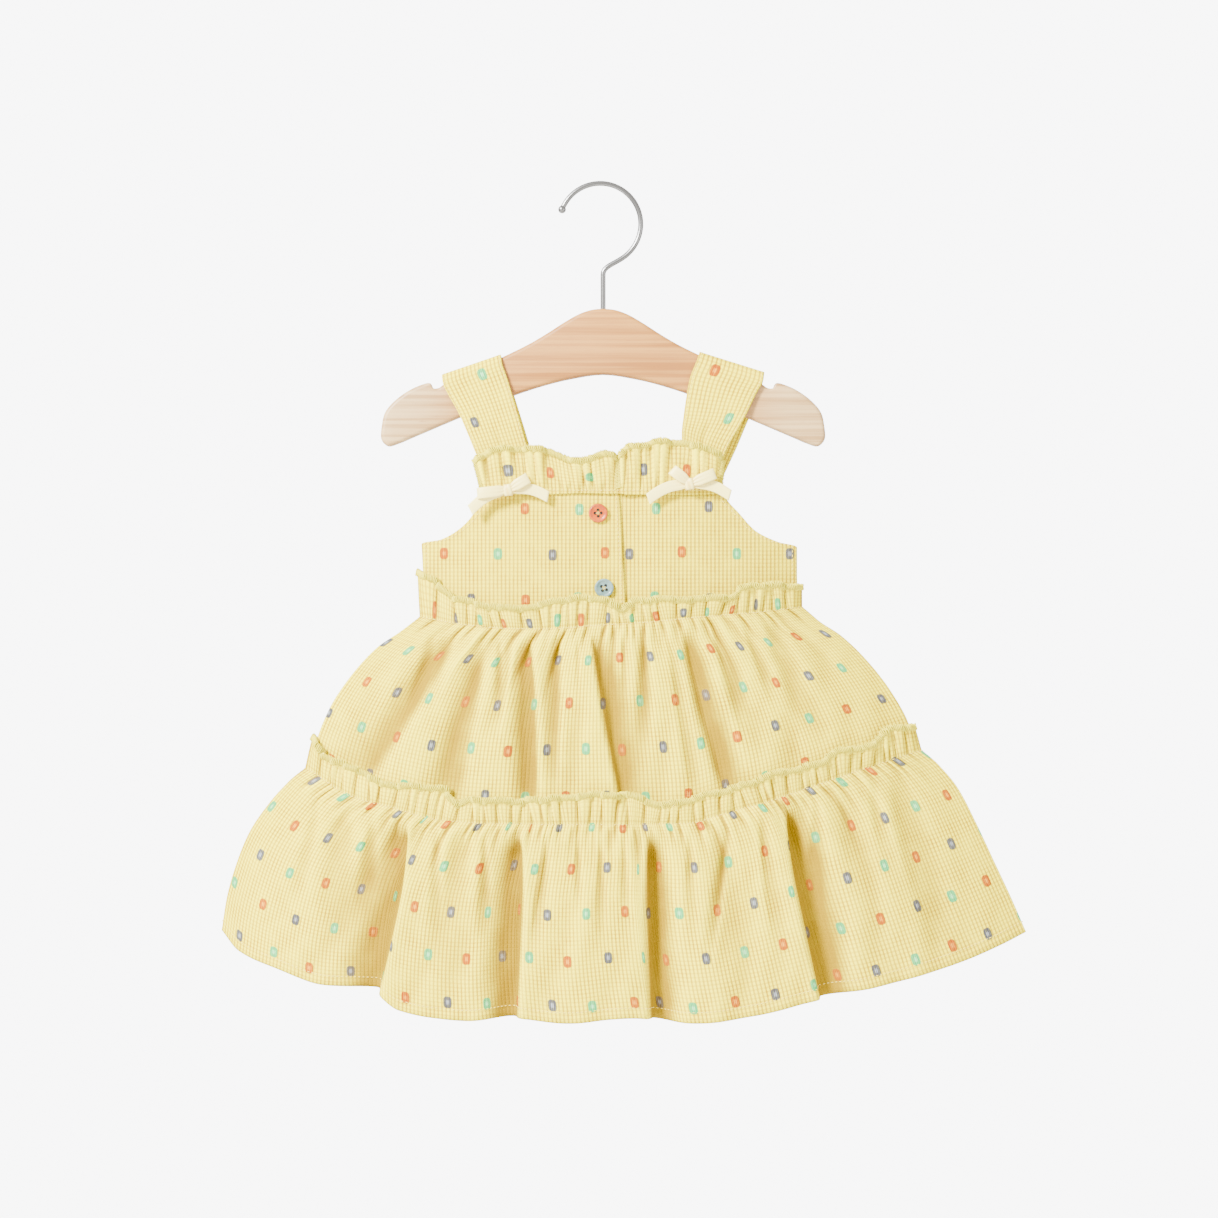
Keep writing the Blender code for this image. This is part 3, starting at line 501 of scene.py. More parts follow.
LOWER_HEADER = [
    Rim(0.0, -372.1), Rim(0.026, -385.5), Rim(0.077, -393.9), Rim(0.127, -402.9), Rim(0.211, -406.0),
    Rim(0.241, -416.0), Rim(0.264, -413.3), Rim(0.353, -414.0), Rim(0.422, -411.3), Rim(0.487, -409.3),
    Rim(0.526, -410.0), Rim(0.574, -416.2), Rim(0.624, -413.0), Rim(0.673, -408.0), Rim(0.732, -402.9),
    Rim(0.768, -395.9), Rim(0.842, -388.6), Rim(0.871, -381.2), Rim(0.926, -376.5), Rim(0.955, -366.8),
    Rim(1.0, -365.1),
]
HEM = [
    Rim(0.0, -503.0), Rim(0.022, -516.5), Rim(0.076, -528.3), Rim(0.128, -537.5), Rim(0.185, -539.5),
    Rim(0.224, -553.2), Rim(0.27, -558.2), Rim(0.307, -559.7), Rim(0.357, -557.6), Rim(0.429, -561.1),
    Rim(0.507, -557.6), Rim(0.585, -561.1), Rim(0.66, -556.2), Rim(0.736, -546.4), Rim(0.812, -538.0),
    Rim(0.908, -524.3), Rim(0.965, -512.8), Rim(1.0, -504.3),
]
Girth = namedtuple("Girth", "down left right depth")
UPPER_GIRTH = [
    Girth(0.0, -122.0, 137.5, 19.6), Girth(0.1, -135.3, 148.1, 22.0), Girth(0.2, -150.4, 162.8, 24.0),
    Girth(0.4, -169.2, 182.6, 26.0), Girth(0.6, -182.6, 197.3, 26.5), Girth(0.8, -191.0, 208.0, 26.0),
    Girth(1.0, -196.0, 214.0, 25.0),
]
LOWER_GIRTH = [
    Girth(0.0, -202.0, 220.0, 29.0), Girth(0.2, -222.4, 241.2, 34.0), Girth(0.4, -237.3, 254.1, 38.0),
    Girth(0.6, -246.1, 265.6, 40.0), Girth(0.8, -252.2, 277.1, 41.5), Girth(1.0, -255.6, 287.8, 42.0),
]


def bodice_depth(x, z):
    """How far the bodice's middle surface stands from the plane of the side seams."""
    left = through(BODICE_LEVELS, z, 1)
    right = through(BODICE_LEVELS, z, 2)
    across = np.abs(2 * x - left - right) / (right - left)
    return SIDE_SEAM + through(BODICE_LEVELS, z, 3) * np.maximum(1 - across ** FLATTEN, 0.0)


def waist_height(x):
    """Lower edge of the bodice, hidden behind the gathers."""
    left = UPPER_GIRTH[0].left
    across = (x - left) / (UPPER_GIRTH[0].right - left)
    return through(WAIST_GATHER, across) - SEAM_ALLOWANCE


# %% [markdown]
# The bodice is cut as a front that opens at the middle, left over right, and a whole back. Each
# panel is ruled between its two side edges, level by level, which keeps the checks straight. A flat
# panel would look like card, so the neck is puckered where the ruffle is sewn on, and the rest
# sags a little.

# %% Bodice panels
LAP_EDGE_TOP = 12.4
LAP_EDGE_BOTTOM = 16.8
UNDERLAP = 27.0
UNDERLAP_EASE = (18.0, 40.0)
PANEL_ROWS = 90
PANEL_COLUMNS = 110
PUCKER_DEPTH = 0.55
PUCKER_REACH = 13.0
PUCKER_WIDTH = 6.4
SAG = 0.5


def edge_curve(edge, t):
    """Points of an armhole-and-side edge. t counts the rows of its table, and one more to the waist."""
    places = list(range(len(edge)))
    x = through(list(zip(places, [point.x for point in edge])), t)
    z = through(list(zip(places, [point.z for point in edge])), t)
    z = mix(z, waist_height(x), np.clip(t - places[-1], 0.0, 1.0))
    return x, z


def straight_curve(top_x, bottom_x, edge, t):
    """The straight edge of an opening, level by level with the curved edge beside it."""
    last = len(edge) - 1
    z = mix(NECK_EDGE, edge[-1].z, np.clip(t / last, 0.0, 1.0))
    x = mix(top_x, bottom_x, (z - NECK_EDGE) / (edge[-1].z - NECK_EDGE))
    z = mix(z, waist_height(x), np.clip(t - last, 0.0, 1.0))
    return x, z


def soft_sag(x, z, seed):
    """Slow unevenness of cloth that hangs free, in millimetres."""
    random = np.random.RandomState(seed)
    total = np.zeros_like(x)
    for wave in (95.0, 60.0, 38.0):
        turn = random.uniform(-0.5, 0.5)
        phase = random.uniform(0, 2 * pi)
        total += wave / 190.0 * np.sin(2 * pi * (x + turn * z) / wave + phase)
    return total


def panel_points(left, right, towards, inset, seed):
    t = np.linspace(0.0, len(LEFT_EDGE), PANEL_ROWS)[:, None]
    across = np.linspace(0.0, 1.0, PANEL_COLUMNS)[None, :]
    left_x, left_z = left(t)
    right_x, right_z = right(t)
    x = mix(left_x, right_x, across)
    z = mix(left_z, right_z, across)
    depth = bodice_depth(x, z) - inset(x)
    below = NECK_EDGE - z
    pucker = np.abs(np.sin(pi * (x + 2.0 * np.sin(x / 17.0)) / PUCKER_WIDTH)) ** 0.7 - 0.6
    edge_hold = ease(0.0, 0.1, across) * ease(1.0, 0.9, across)
    lift = PUCKER_DEPTH * pucker * np.exp(-(below / PUCKER_REACH) ** 2)
    lift += SAG * soft_sag(x, z, seed) * edge_hold * ease(4.0, 25.0, below)
    return grid(x, towards * (depth + lift), z), lift


def bodice_panel(name, left, right, towards, inset, seed, tuft):
    points, lift = panel_points(left, right, towards, inset, seed)
    flat = points[..., [0, 2]]
    # hollow sets painted shade: a little on the whole bodice and more in the puckers, with a painted
    # highlight on their crests.
    piece = sheet_mesh(name, points, flat, 0.14 + 0.5 * relief(lift, 9, 1.2), towards, cloth, tuft=tuft)
    declare(piece, name,
            area=round(piece_area(points), 5))
    return points


def left_edge(t):
    return edge_curve(LEFT_EDGE, t)


def right_edge(t):
    return edge_curve(RIGHT_EDGE, t)


def lap_edge(t):
    return straight_curve(LAP_EDGE_TOP, LAP_EDGE_BOTTOM, LEFT_EDGE, t)


def underlap_edge(t):
    return straight_curve(LAP_EDGE_TOP - UNDERLAP, LAP_EDGE_BOTTOM - UNDERLAP, RIGHT_EDGE, t)


def on_form(x):
    return 0 * x


def under_the_lap(x):
    return LAYER * (1 - ease(*UNDERLAP_EASE, x))


lap_points = bodice_panel("bodice_front_lap", left_edge, lap_edge, -1, on_form, 3,
                          Tuft(-50.2, -218.3, 0, -1))
under_points = bodice_panel("bodice_front_under", underlap_edge, right_edge, -1, under_the_lap, 3,
                            Tuft(36.9, -218.3, 1, -1))
back_points = bodice_panel("bodice_back", left_edge, right_edge, 1, on_form, 5,
                           Tuft(8.0, -226.0, 0, 1))

# %% [markdown]
# Each strap is a wide band, folded double and stitched along both edges. It goes up from behind
# the neck edge, over the hanger and down to the back. A curve with a wide profile would twist on
# the way, so the strap is lofted: the sections across it are the solid's, with a smooth curve
# drawn through them. A few soft wrinkles run along it, pressed in from the outside.

# %% Straps
Band = namedtuple("Band", "left_x left_z right_x right_z stand")
LEFT_STRAP_FRONT = [
    Band(-106.5, -128.2, -67.0, -114.7, 0.0), Band(-106.5, -128.5, -67.0, -115.0, 3.2),
    Band(-106.4, -130.3, -66.6, -116.8, 6.2), Band(-106.0, -133.4, -66.2, -119.9, 7.2),
    Band(-102.5, -141.0, -63.3, -128.5, 7.3), Band(-95.2, -154.1, -58.3, -144.8, 8.6),
    Band(-83.8, -180.8, -49.6, -174.8, 11.4), Band(-75.5, -200.0, -42.5, -198.0, 0.0),
    Band(-70.4, -213.0, -38.9, -211.7, 0.0),
]
LEFT_STRAP_BACK = [
    Band(-106.5, -128.5, -67.0, -115.0, 3.2), Band(-106.4, -130.3, -66.6, -116.8, 6.2),
    Band(-106.0, -133.4, -66.2, -119.9, 7.2), Band(-102.0, -141.0, -62.5, -128.5, 7.3),
    Band(-94.2, -154.1, -57.2, -144.8, 8.6), Band(-82.0, -180.8, -48.0, -174.8, 11.4),
    Band(-74.5, -200.0, -41.5, -198.0, 0.0), Band(-70.0, -213.0, -38.5, -211.7, 0.0),
]
RIGHT_STRAP_FRONT = [
    Band(67.0, -112.9, 110.6, -126.6, 0.0), Band(67.0, -113.2, 110.6, -126.9, 3.2),
    Band(66.4, -115.0, 110.4, -128.7, 6.2), Band(65.4, -118.1, 110.0, -131.8, 7.2),
    Band(60.5, -131.0, 105.5, -140.5, 7.3), Band(56.3, -155.6, 97.0, -158.0, 8.8),
    Band(54.9, -168.8, 84.5, -180.5, 11.2), Band(55.5, -196.0, 78.5, -199.0, 0.0),
    Band(56.3, -213.0, 75.0, -213.0, 0.0),
]
RIGHT_STRAP_BACK = [
    Band(67.0, -113.2, 110.6, -126.9, 3.2), Band(66.4, -115.0, 110.5, -128.7, 6.2),
    Band(65.4, -118.1, 110.3, -131.8, 7.2), Band(62.5, -131.0, 107.5, -142.0, 7.3),
    Band(59.5, -150.0, 100.5, -158.0, 8.8), Band(56.5, -170.0, 92.5, -177.0, 11.2),
    Band(55.5, -196.0, 82.5, -198.5, 0.0), Band(55.5, -213.0, 76.5, -213.0, 0.0),
]
STRAP_THICKNESS = 1.7
STRAP_IN_BODICE = 1.5
STRAP_HALF = 20.5
STRAP_FULLNESS = 0.5
STRAP_ROWS = 150
STRAP_COLUMNS = 28
Wrinkle = namedtuple("Wrinkle", "place lean width depth start end")


def band_points(band, towards, columns=5):
    t = np.linspace(0.0, 1.0, columns)
    x = mix(band.left_x, band.right_x, t)
    z = mix(band.left_z, band.right_z, t)
    inside = bodice_depth(x, z) - STRAP_IN_BODICE
    stand = np.where(z < NECK_EDGE + 10, inside, band.stand)
    return grid(x, towards * stand, z)


def refine(coarse, rows, columns):
    """A finer grid on smooth curves through a coarse one, with rows spaced by length."""
    count = coarse.shape[1]
    middle = coarse[:, count // 2]
    run = np.concatenate([[0.0], np.cumsum(np.linalg.norm(np.diff(middle, axis=0), axis=1))])
    places = np.linspace(0.0, run[-1], rows)
    tall = np.empty((rows, count, 3))
    for column in range(count):
        for axis in range(3):
            tall[:, column, axis] = through(list(zip(run, coarse[:, column, axis])), places)
    fine = np.empty((rows, columns, 3))
    steps = np.linspace(0.0, count - 1.0, columns)
    for row in range(rows):
        for axis in range(3):
            fine[row, :, axis] = np.interp(steps, np.arange(count), tall[row, :, axis])
    return fine, places


def strap(name, front, back, wrinkles, turned, tuft):
    """turned is -1 where the cloth was cut the other way up, which shows in its tufts."""
    bands = [band_points(band, -1) for band in reversed(front)]
    bands += [band_points(band, 1) for band in back]
    points, run = refine(np.array(bands), STRAP_ROWS, STRAP_COLUMNS)
    out = np.cross(np.gradient(points, axis=0), np.gradient(points, axis=1))
    out /= np.linalg.norm(out, axis=2, keepdims=True)
    out *= np.where((out[..., 1:2] * points[..., 1:2]) < 0, -1.0, 1.0)
    across = np.linspace(-1.0, 1.0, STRAP_COLUMNS)[None, :]
    along = (run / run[-1])[:, None]
    lift = STRAP_FULLNESS * (1 - across ** 4) * np.sin(pi * along) ** 2
    for line in wrinkles:
        strength = ease(line.start, line.start + 0.08, along) * ease(line.end, line.end - 0.08, along)
        away = (across - line.place - line.lean * along) / line.width
        lift -= line.depth * strength * np.exp(-away ** 2)
    over_hanger = np.exp(-((along - 0.5) / 0.07) ** 2)
    lift = lift * (1 - over_hanger)
    points = points + out * lift[..., None]
    widths = np.linalg.norm(points[:, -1] - points[:, 0], axis=1)
    flat = turned * grid(across * STRAP_HALF, run[:, None])
    # hollow paints the light of the wrinkles: painted shade in them and a painted highlight on the rises
    # between them.
    piece = sheet_mesh(name, points, flat, 0.45 * relief(lift, 9, 0.5), 1, cloth, STRAP_THICKNESS, tuft)
    declare(piece, name,
            area=round(piece_area(points), 5))
    return points, out


left_strap, left_strap_out = strap(
    "strap_left", LEFT_STRAP_FRONT, LEFT_STRAP_BACK,
    [Wrinkle(-0.1, 0.5, 0.12, 0.5, 0.05, 0.28), Wrinkle(0.5, -0.6, 0.1, 0.5, 0.62, 0.95)],
    1, Tuft(-79.7, -127.2, 1, -1))
right_strap, right_strap_out = strap(
    "strap_right", RIGHT_STRAP_FRONT, RIGHT_STRAP_BACK,
    [Wrinkle(0.1, -0.9, 0.14, 0.8, 0.02, 0.3), Wrinkle(-0.4, 0.5, 0.1, 0.5, 0.6, 0.9)],
    -1, Tuft(77.0, -124.5, 0, -1))

# %% [markdown]
# The neck ruffle is a strip gathered along its foot and left free above. It is parted where the
# front opens. Copies of one pleat would look like a machine's work. Here one phase runs along the
# strip, hurrying and lingering as it goes, and every height is worked out from it. At the stitches
# each pleat is small and tight. Further up, three and three merge into soft waves.

# %% Neck ruffle
RUFFLE_STITCH = -206.3
RUFFLE_FREE = 27.3
RUFFLE_SWELL = 2.6
RUFFLE_FLARE = 1.5
GATHER_SWELL = 0.6
CROWD = 1.3
RUFFLE_TOP = [
    Edge(-84.5, -186.0), Edge(-75.0, -180.0), Edge(-65.3, -177.9), Edge(-47.6, -178.2),
    Edge(-36.9, -178.6), Edge(-27.7, -181.7), Edge(-14.7, -186.4), Edge(-3.0, -184.0),
    Edge(4.0, -181.5), Edge(12.0, -184.0), Edge(17.8, -177.0), Edge(32.2, -176.1),
    Edge(38.9, -173.2), Edge(52.3, -173.5), Edge(68.3, -177.5), Edge(79.1, -182.2), Edge(82.0, -187.0),
]
RuffleHalf = namedtuple("RuffleHalf", "name foot_left foot_right top_left top_right waves flat_width tuft")
RUFFLES = [
    RuffleHalf("neck_ruffle_lap", -79.4, 12.2, -84.5, 11.8, 7, 136.0, Tuft(-33.5, -195.0, 0, -1)),
    RuffleHalf("neck_ruffle_under", 12.8, 81.0, 12.4, 82.0, 5, 102.0, Tuft(29.5, -193.0, 2, -1)),
]
RUFFLE_ROWS = 34
COLUMNS_IN_WAVE = 22


def pleats(phase, sharpness=0.65):
    """0 in the stitched valleys at whole numbers, 1 on the crests between them."""
    return np.abs(np.sin(pi * phase)) ** sharpness


def ruffle(half):
    t = np.linspace(0.0, 1.0, half.waves * COLUMNS_IN_WAVE)[None, :]
    up = np.linspace(1.0, -0.1, RUFFLE_ROWS)[:, None]
    free = np.maximum(up, 0.0)
    foot_x = mix(half.foot_left, half.foot_right, t)
    top_x = mix(half.top_left, half.top_right, t)
    end = ease(0.0, 0.06, t) * ease(1.0, 0.94, t)
    hurry = 0.34 * end * np.sin(2 * pi * 2.3 * t + 1.0)
    phase = half.waves * t + hurry + 0.16 * end * np.sin(2 * pi * 5.1 * t)
    phase = phase + 0.3 * end * free * np.sin(2 * pi * 3.7 * t + 2.0)
    wave = (1 - np.cos(2 * pi * phase)) / 2
    small = pleats(3 * phase + 0.4 * np.sin(9 * t) + 0.5 * free * np.sin(5 * phase))
    height = mix(0.75, 1.0, 0.5 + 0.5 * np.sin(4.1 * phase))
    swell = 2 * mix(GATHER_SWELL, RUFFLE_SWELL * height, free ** 0.8)
    lift = swell * wave * ease(-0.1, 0.25, up) + 1.3 * small * np.exp(-((up - 0.06) / 0.2) ** 2)
    lift += 0.35 * small * free
    x = mix(foot_x, top_x, free) - 1.5 * free * end * np.sin(2 * pi * phase)
    z = mix(RUFFLE_STITCH, through(RUFFLE_TOP, top_x), up) + free * (1.2 * wave - 0.6)
    out = bodice_depth(x, np.minimum(z, NECK_EDGE)) + LAYER + RUFFLE_FLARE * free + lift
    points = grid(x, -out, z)
    # hollow paints the pleats' light: painted shade in the pleats and a painted highlight on their crests.
    hollow = 1.3 * relief(lift, 13, 1.5) * ease(-0.1, 0.2, up)
    flat = grid((half.top_right - half.top_left) * (t - 0.5), RUFFLE_FREE * up)
    piece = sheet_mesh(half.name, points, flat, hollow, -1, cloth, tuft=half.tuft, crowd=CROWD)
    declare(piece, half.name)
    return points


ruffle_points = {half.name: ruffle(half) for half in RUFFLES}

# %% [markdown]
# Each tier is a long strip, gathered a little below its upper edge and stitched on there, so that
# a standing frill is left above the stitches. Below them the fullness opens into folds. The long
# folds are the solid's own, placed one by one: noise would give folds too, but not where a dress
# has them. top and hem say where a fold's trough lies at the stitches and at the lower edge, start
# and end how far down it runs, and skew makes one of its sides steeper.

# %% Long folds
Fold = namedtuple("Fold", "top hem width depth lean start end skew", defaults=[0.0])
UPPER_FRONT_FOLDS = [
    Fold(-95.0, -172.0, 13.0, 6.0, 2.0, 0.0, 1.0, -0.3), Fold(-78.0, -104.0, 10.0, 5.0, 1.0, 0.1, 1.0, -0.2),
    Fold(-49.0, -46.5, 8.0, 8.0, 1.0, 0.0, 1.0, -0.3), Fold(-28.0, -33.0, 5.5, 4.5, 0.0, 0.0, 0.7, -0.2),
    Fold(-6.0, 19.0, 11.0, 7.0, -1.0, 0.0, 1.0, 0.7), Fold(29.0, 30.5, 5.0, 4.0, 0.0, 0.0, 0.45, 0.0),
    Fold(56.0, 92.0, 10.0, 6.5, -2.0, 0.0, 1.0, 0.3), Fold(112.0, 160.0, 9.0, 3.5, -1.5, 0.0, 0.6),
    Fold(-67.0, -70.0, 3.2, 3.0, 0.0, 0.0, 0.22), Fold(-57.0, -80.0, 5.0, 3.2, 0.0, 0.0, 0.35, -0.5),
    Fold(-15.0, -13.0, 2.2, 2.0, 0.0, 0.0, 0.15), Fold(45.0, 66.0, 4.5, 2.6, 0.0, 0.15, 0.7, 0.3),
    Fold(74.0, 112.0, 6.0, 2.8, 0.0, 0.0, 0.5, 0.4), Fold(-110.0, -150.0, 5.0, 3.0, 0.0, 0.0, 0.3),
    Fold(94.0, 140.0, 5.0, 2.5, 0.0, 0.0, 0.35, 0.4), Fold(16.0, 18.0, 2.5, 2.4, 0.0, 0.0, 0.2),
]
UPPER_BACK_FOLDS = [
    Fold(-100.0, -160.0, 11.0, 5.0, 2.0, 0.0, 1.0), Fold(-66.0, -92.0, 9.0, 5.0, 1.0, 0.0, 0.8),
    Fold(-24.0, -33.0, 8.0, 7.0, 1.0, 0.0, 1.0), Fold(14.0, 12.0, 8.0, 4.0, 0.0, 0.1, 0.6),
    Fold(38.0, 52.0, 9.0, 6.5, -1.0, 0.0, 1.0), Fold(80.0, 112.0, 9.0, 4.5, -1.5, 0.1, 0.9),
    Fold(112.0, 168.0, 10.0, 4.5, -2.0, 0.0, 0.8),
]
LOWER_FRONT_FOLDS = [
    Fold(-170.0, -182.0, 12.0, 4.5, 0.0, 0.0, 0.6), Fold(-130.0, -155.0, 13.0, 14.0, 6.0, 0.02, 1.0, -0.55),
    Fold(-91.0, -104.0, 12.0, 4.0, 0.0, 0.0, 0.7), Fold(-55.0, -61.0, 11.0, 14.0, 3.0, 0.0, 1.0, -0.5),
    Fold(1.0, 0.0, 3.5, 4.0, 0.0, 0.0, 0.35), Fold(34.0, 39.0, 9.0, 14.0, -2.0, 0.0, 1.0, 0.45),
    Fold(80.0, 92.0, 11.0, 4.0, 0.0, 0.0, 0.6), Fold(126.0, 154.0, 12.0, 14.0, -5.0, 0.0, 1.0, 0.5),
    Fold(163.0, 190.0, 10.0, 4.0, 0.0, 0.0, 0.4), Fold(198.0, 236.0, 12.0, 5.0, -2.0, 0.05, 0.8),
    Fold(-34.0, -52.0, 4.0, 3.5, 0.0, 0.0, 0.42, 0.4), Fold(-15.0, -12.0, 3.0, 3.0, 0.0, 0.0, 0.25),
    Fold(16.0, 18.0, 3.5, 3.0, 0.0, 0.0, 0.3), Fold(88.0, 66.0, 4.0, 3.5, 0.0, 0.05, 0.5, -0.4),
    Fold(106.0, 124.0, 5.0, 4.0, 0.0, 0.0, 0.45, 0.3), Fold(60.0, 62.0, 4.0, 3.0, 0.0, 0.0, 0.3),
    Fold(-108.0, -112.0, 4.5, 3.5, 0.0, 0.0, 0.35), Fold(-76.0, -80.0, 4.0, 3.5, 0.0, 0.0, 0.4),
    Fold(-150.0, -172.0, 5.0, 3.5, 0.0, 0.0, 0.4), Fold(-188.0, -215.0, 5.0, 3.0, 0.0, 0.0, 0.35),
    Fold(144.0, 158.0, 5.0, 3.5, 0.0, 0.0, 0.35), Fold(180.0, 214.0, 6.0, 3.0, 0.0, 0.0, 0.45),
]
LOWER_BACK_FOLDS = [
    Fold(-165.0, -190.0, 13.0, 8.0, 3.0, 0.0, 1.0), Fold(-118.0, -128.0, 12.0, 12.0, 3.0, 0.0, 1.0),
    Fold(-72.0, -84.0, 11.0, 5.0, 0.0, 0.0, 0.6), Fold(-34.0, -40.0, 13.0, 14.0, 2.0, 0.0, 1.0),
    Fold(10.0, 8.0, 10.0, 5.0, 0.0, 0.0, 0.6), Fold(52.0, 60.0, 13.0, 13.0, -2.0, 0.0, 1.0),
    Fold(98.0, 118.0, 11.0, 6.0, -1.0, 0.0, 0.7), Fold(146.0, 172.0, 13.0, 13.0, -4.0, 0.0, 1.0),
    Fold(190.0, 225.0, 12.0, 5.0, -2.0, 0.0, 0.8),
]
FOLD_EDGE = 2.6
Tier = namedtuple("Tier", "gather top edge girth folds swing waves towards seed end deepest reach")


def fold_push(tier, x, down):
    """Sideways lean and depth of all the long folds' troughs. A tier with swing calms down again
    towards its lower edge, where the next tier is sewn on."""
    lean = 0.0 * x
    sink = 0.0 * x
    narrow = mix(0.5, 1.0, ease(0.0, 0.45, down))
    for fold in tier.folds:
        strength = ease(fold.start - 0.12, fold.start + 0.22, down)
        if fold.end < 1.0:
            strength = strength * (1 - ease(fold.end - 0.1, fold.end + 0.3, down))
        away = (x - mix(fold.top, fold.hem, down)) / (fold.width * narrow)
        away = away / np.where(away < 0, 1 - fold.skew, 1 + fold.skew)
        trough = strength * np.exp(-np.abs(away) ** FOLD_EDGE)
        lean = lean + fold.lean * trough
        sink = sink + fold.depth * trough
    calm = ease(0.0, 0.16, down) * (1 - ease(0.75, 1.0, down) * tier.swing)
    return lean * calm, sink * calm


# %% [markdown]
# Between the long folds run fine creases out of the gathers, short and long, and a slow
# unevenness, so no two parts of the skirt hang alike. They are drawn at random with a fixed seed,
# which is what separates them from the folds: their kind and number matter, but not their places.

# %% Pleats, creases and waves
CREASES_IN_PLEAT = 2.2
WAVE_LENGTHS = (66.0, 41.0, 27.0, 19.0)


def pleat_places(tier):
    """Where the stitched valleys lie along a tier. Some pleats are narrow and some are wide."""
    random = np.random.RandomState(tier.seed + 90)
    widths = random.uniform(0.35, 1.7, tier.waves)
    widths[[0, -1]] = 1.0
    return np.concatenate([[0.0], np.cumsum(widths)]) / widths.sum()


def pleat_phase(tier, across):
    return np.interp(across, pleat_places(tier), np.arange(tier.waves + 1))


def fine_creases(tier, across, down):
    """Creases that run out of the gathers: narrow at the stitches, wider and softer as they fade."""
    random = np.random.RandomState(tier.seed)
    left = through(tier.girth, down, 1)
    right = through(tier.girth, down, 2)
    x = mix(left, right, across)
    lift = 0.0 * x
    count = int(tier.waves * CREASES_IN_PLEAT)
    for k in range(count):
        place = (k + random.uniform(0.15, 0.85)) / count
        reach = 0.1 + tier.reach * random.uniform() ** 1.8
        depth = random.uniform(0.9, 3.2) * (0.6 + reach)
        width = random.uniform(0.9, 2.2)
        slant = random.uniform(-6.0, 6.0)
        ridge = -0.6 if random.uniform() < 0.35 else 1.0
        away = (x - mix(left, right, place) - slant * down) / (width + 14 * down)
        fade = np.clip(1 - down / reach, 0.0, 1.0) ** 1.3
        lift = lift - ridge * depth * fade * np.exp(-np.abs(away) ** 1.4)
    return lift * ease(0.0, 0.05, down)


def slow_waves(tier, x, down):
    """Slow swells of the whole skirt. They widen, turn and bend on their way down."""
    random = np.random.RandomState(tier.seed + 50)
    lift = 0.0 * x
    for wave in WAVE_LENGTHS:
        turn = random.uniform(-0.3, 0.3)
        phase = random.uniform(0, 2 * pi)
        bend = 12 * down * np.sin(3 * down + phase)
        place = x * (1 - 0.15 * down) + bend + turn * 60 * down
        lift = lift + (wave / 60.0) * np.sin(2 * pi * place / wave + phase)
    return lift * ease(0.04, 0.4, down) * (1 - ease(0.75, 1.0, down) * tier.swing)


def skirt(tier, across, down):
    """Points of a tier below its gathers, the depth of its long folds and the height of its creases."""
    side = 2 * across - 1
    hold = 1 - side ** 8
    x = mix(through(tier.girth, down, 1), through(tier.girth, down, 2), across)
    z = mix(through(tier.gather, across), through(tier.edge, across), down)
    lean, sink = fold_push(tier, x, down)
    lift = fine_creases(tier, across, down) + slow_waves(tier, x, down)
    depth = through(tier.girth, down, 3) * (1 - np.abs(side) ** FLATTEN)
    out = depth + (lift - sink) * hold
    return grid(x + lean * hold, tier.towards * (SIDE_SEAM + out), z), sink * hold, lift * hold


# %% [markdown]
# The header is the part of the strip that stands above the stitches. It lies on the layer below
# it, so it is built out from that layer's own surface, square to it: folds of the upper tier then
# carry the lower tier's header with them, and the two never cut into each other. Its pleats are as
# uneven as hand-pulled gathers, and it closes on the side seams.

# %% Header frills
HEADER_SWELL = 2.4
HEADER_FLARE = 1.2
HEADER_END = 4.2
SLOPE_STEP = 0.006


def header(tier, below, to_down, up, across):
    """The frill above the gathers. up is 0 at the stitches and 1 at the top."""
    z = mix(through(tier.gather, across), through(tier.top, across), up)
    down = to_down(across, z)
    foot = below(across, down)
    after = below(np.minimum(across + SLOPE_STEP, 1.0), down)
    slope = after - below(np.maximum(across - SLOPE_STEP, 0.0), down)
    away = grid(-tier.towards * slope[..., 1], tier.towards * slope[..., 0], 0 * z)
    away /= np.linalg.norm(away, axis=-1, keepdims=True)
    phase = pleat_phase(tier, across)
    crest = pleats(phase)
    height = 0.78 + 0.22 * np.sin(3.4 * np.floor(phase) + 1)
    lift = 2 * mix(GATHER_SWELL, HEADER_SWELL * height, up ** 0.7) * crest
    points = foot + away * (LAYER + HEADER_FLARE * up + lift)[..., None]
    end = ease(0.0, 0.03, across) * ease(1.0, 0.97, across)
    tilt = 2.2 * np.sin(2 * pi * 2.7 * across + tier.seed) + 1.1 * np.sin(2 * pi * 9.1 * across)
    points[..., 0] += end * up * (tilt - 1.3 * np.sin(2 * pi * phase))
    points[..., 2] += end * up * (1.3 * crest - 0.8 + 0.6 * np.sin(2.1 * phase + 1))
    span = 1 / (2 * tier.waves)
    for turn, from_seam in ((-1, across), (1, 1 - across)):
        corner = grid(foot[..., 0] + turn * HEADER_END * 0.8, tier.towards * SIDE_SEAM, z)
        share = (np.clip(from_seam / span, 0, 1) ** 0.8)[..., None]
        points = np.where(share < 1, mix(corner, points, share), points)
    return points, lift * ease(0.0, 0.06, across) * ease(1.0, 0.94, across)


# %% [markdown]
# A tier's sheet runs in one piece from the top of its header to its lower edge. Its columns lie
# closer where the pleats are narrow. Its hollow is worked out from three widths at once: small
# creases, wide folds and the depth of the long folds' troughs, with the stitched valleys added,
# where hardly any light gets in. The hollow is painted light: painted shade in the hollows and
# valleys, and a painted highlight on the ridges, where it is below 0.

# %% Tier sheets
HEADER_UPS = (1.0, 0.93, 0.82, 0.7, 0.56, 0.42, 0.28, 0.15, 0.06, 0.0)
GATHER_ROW = len(HEADER_UPS) - 1
PULL = 0.075
PUFF = 2.2


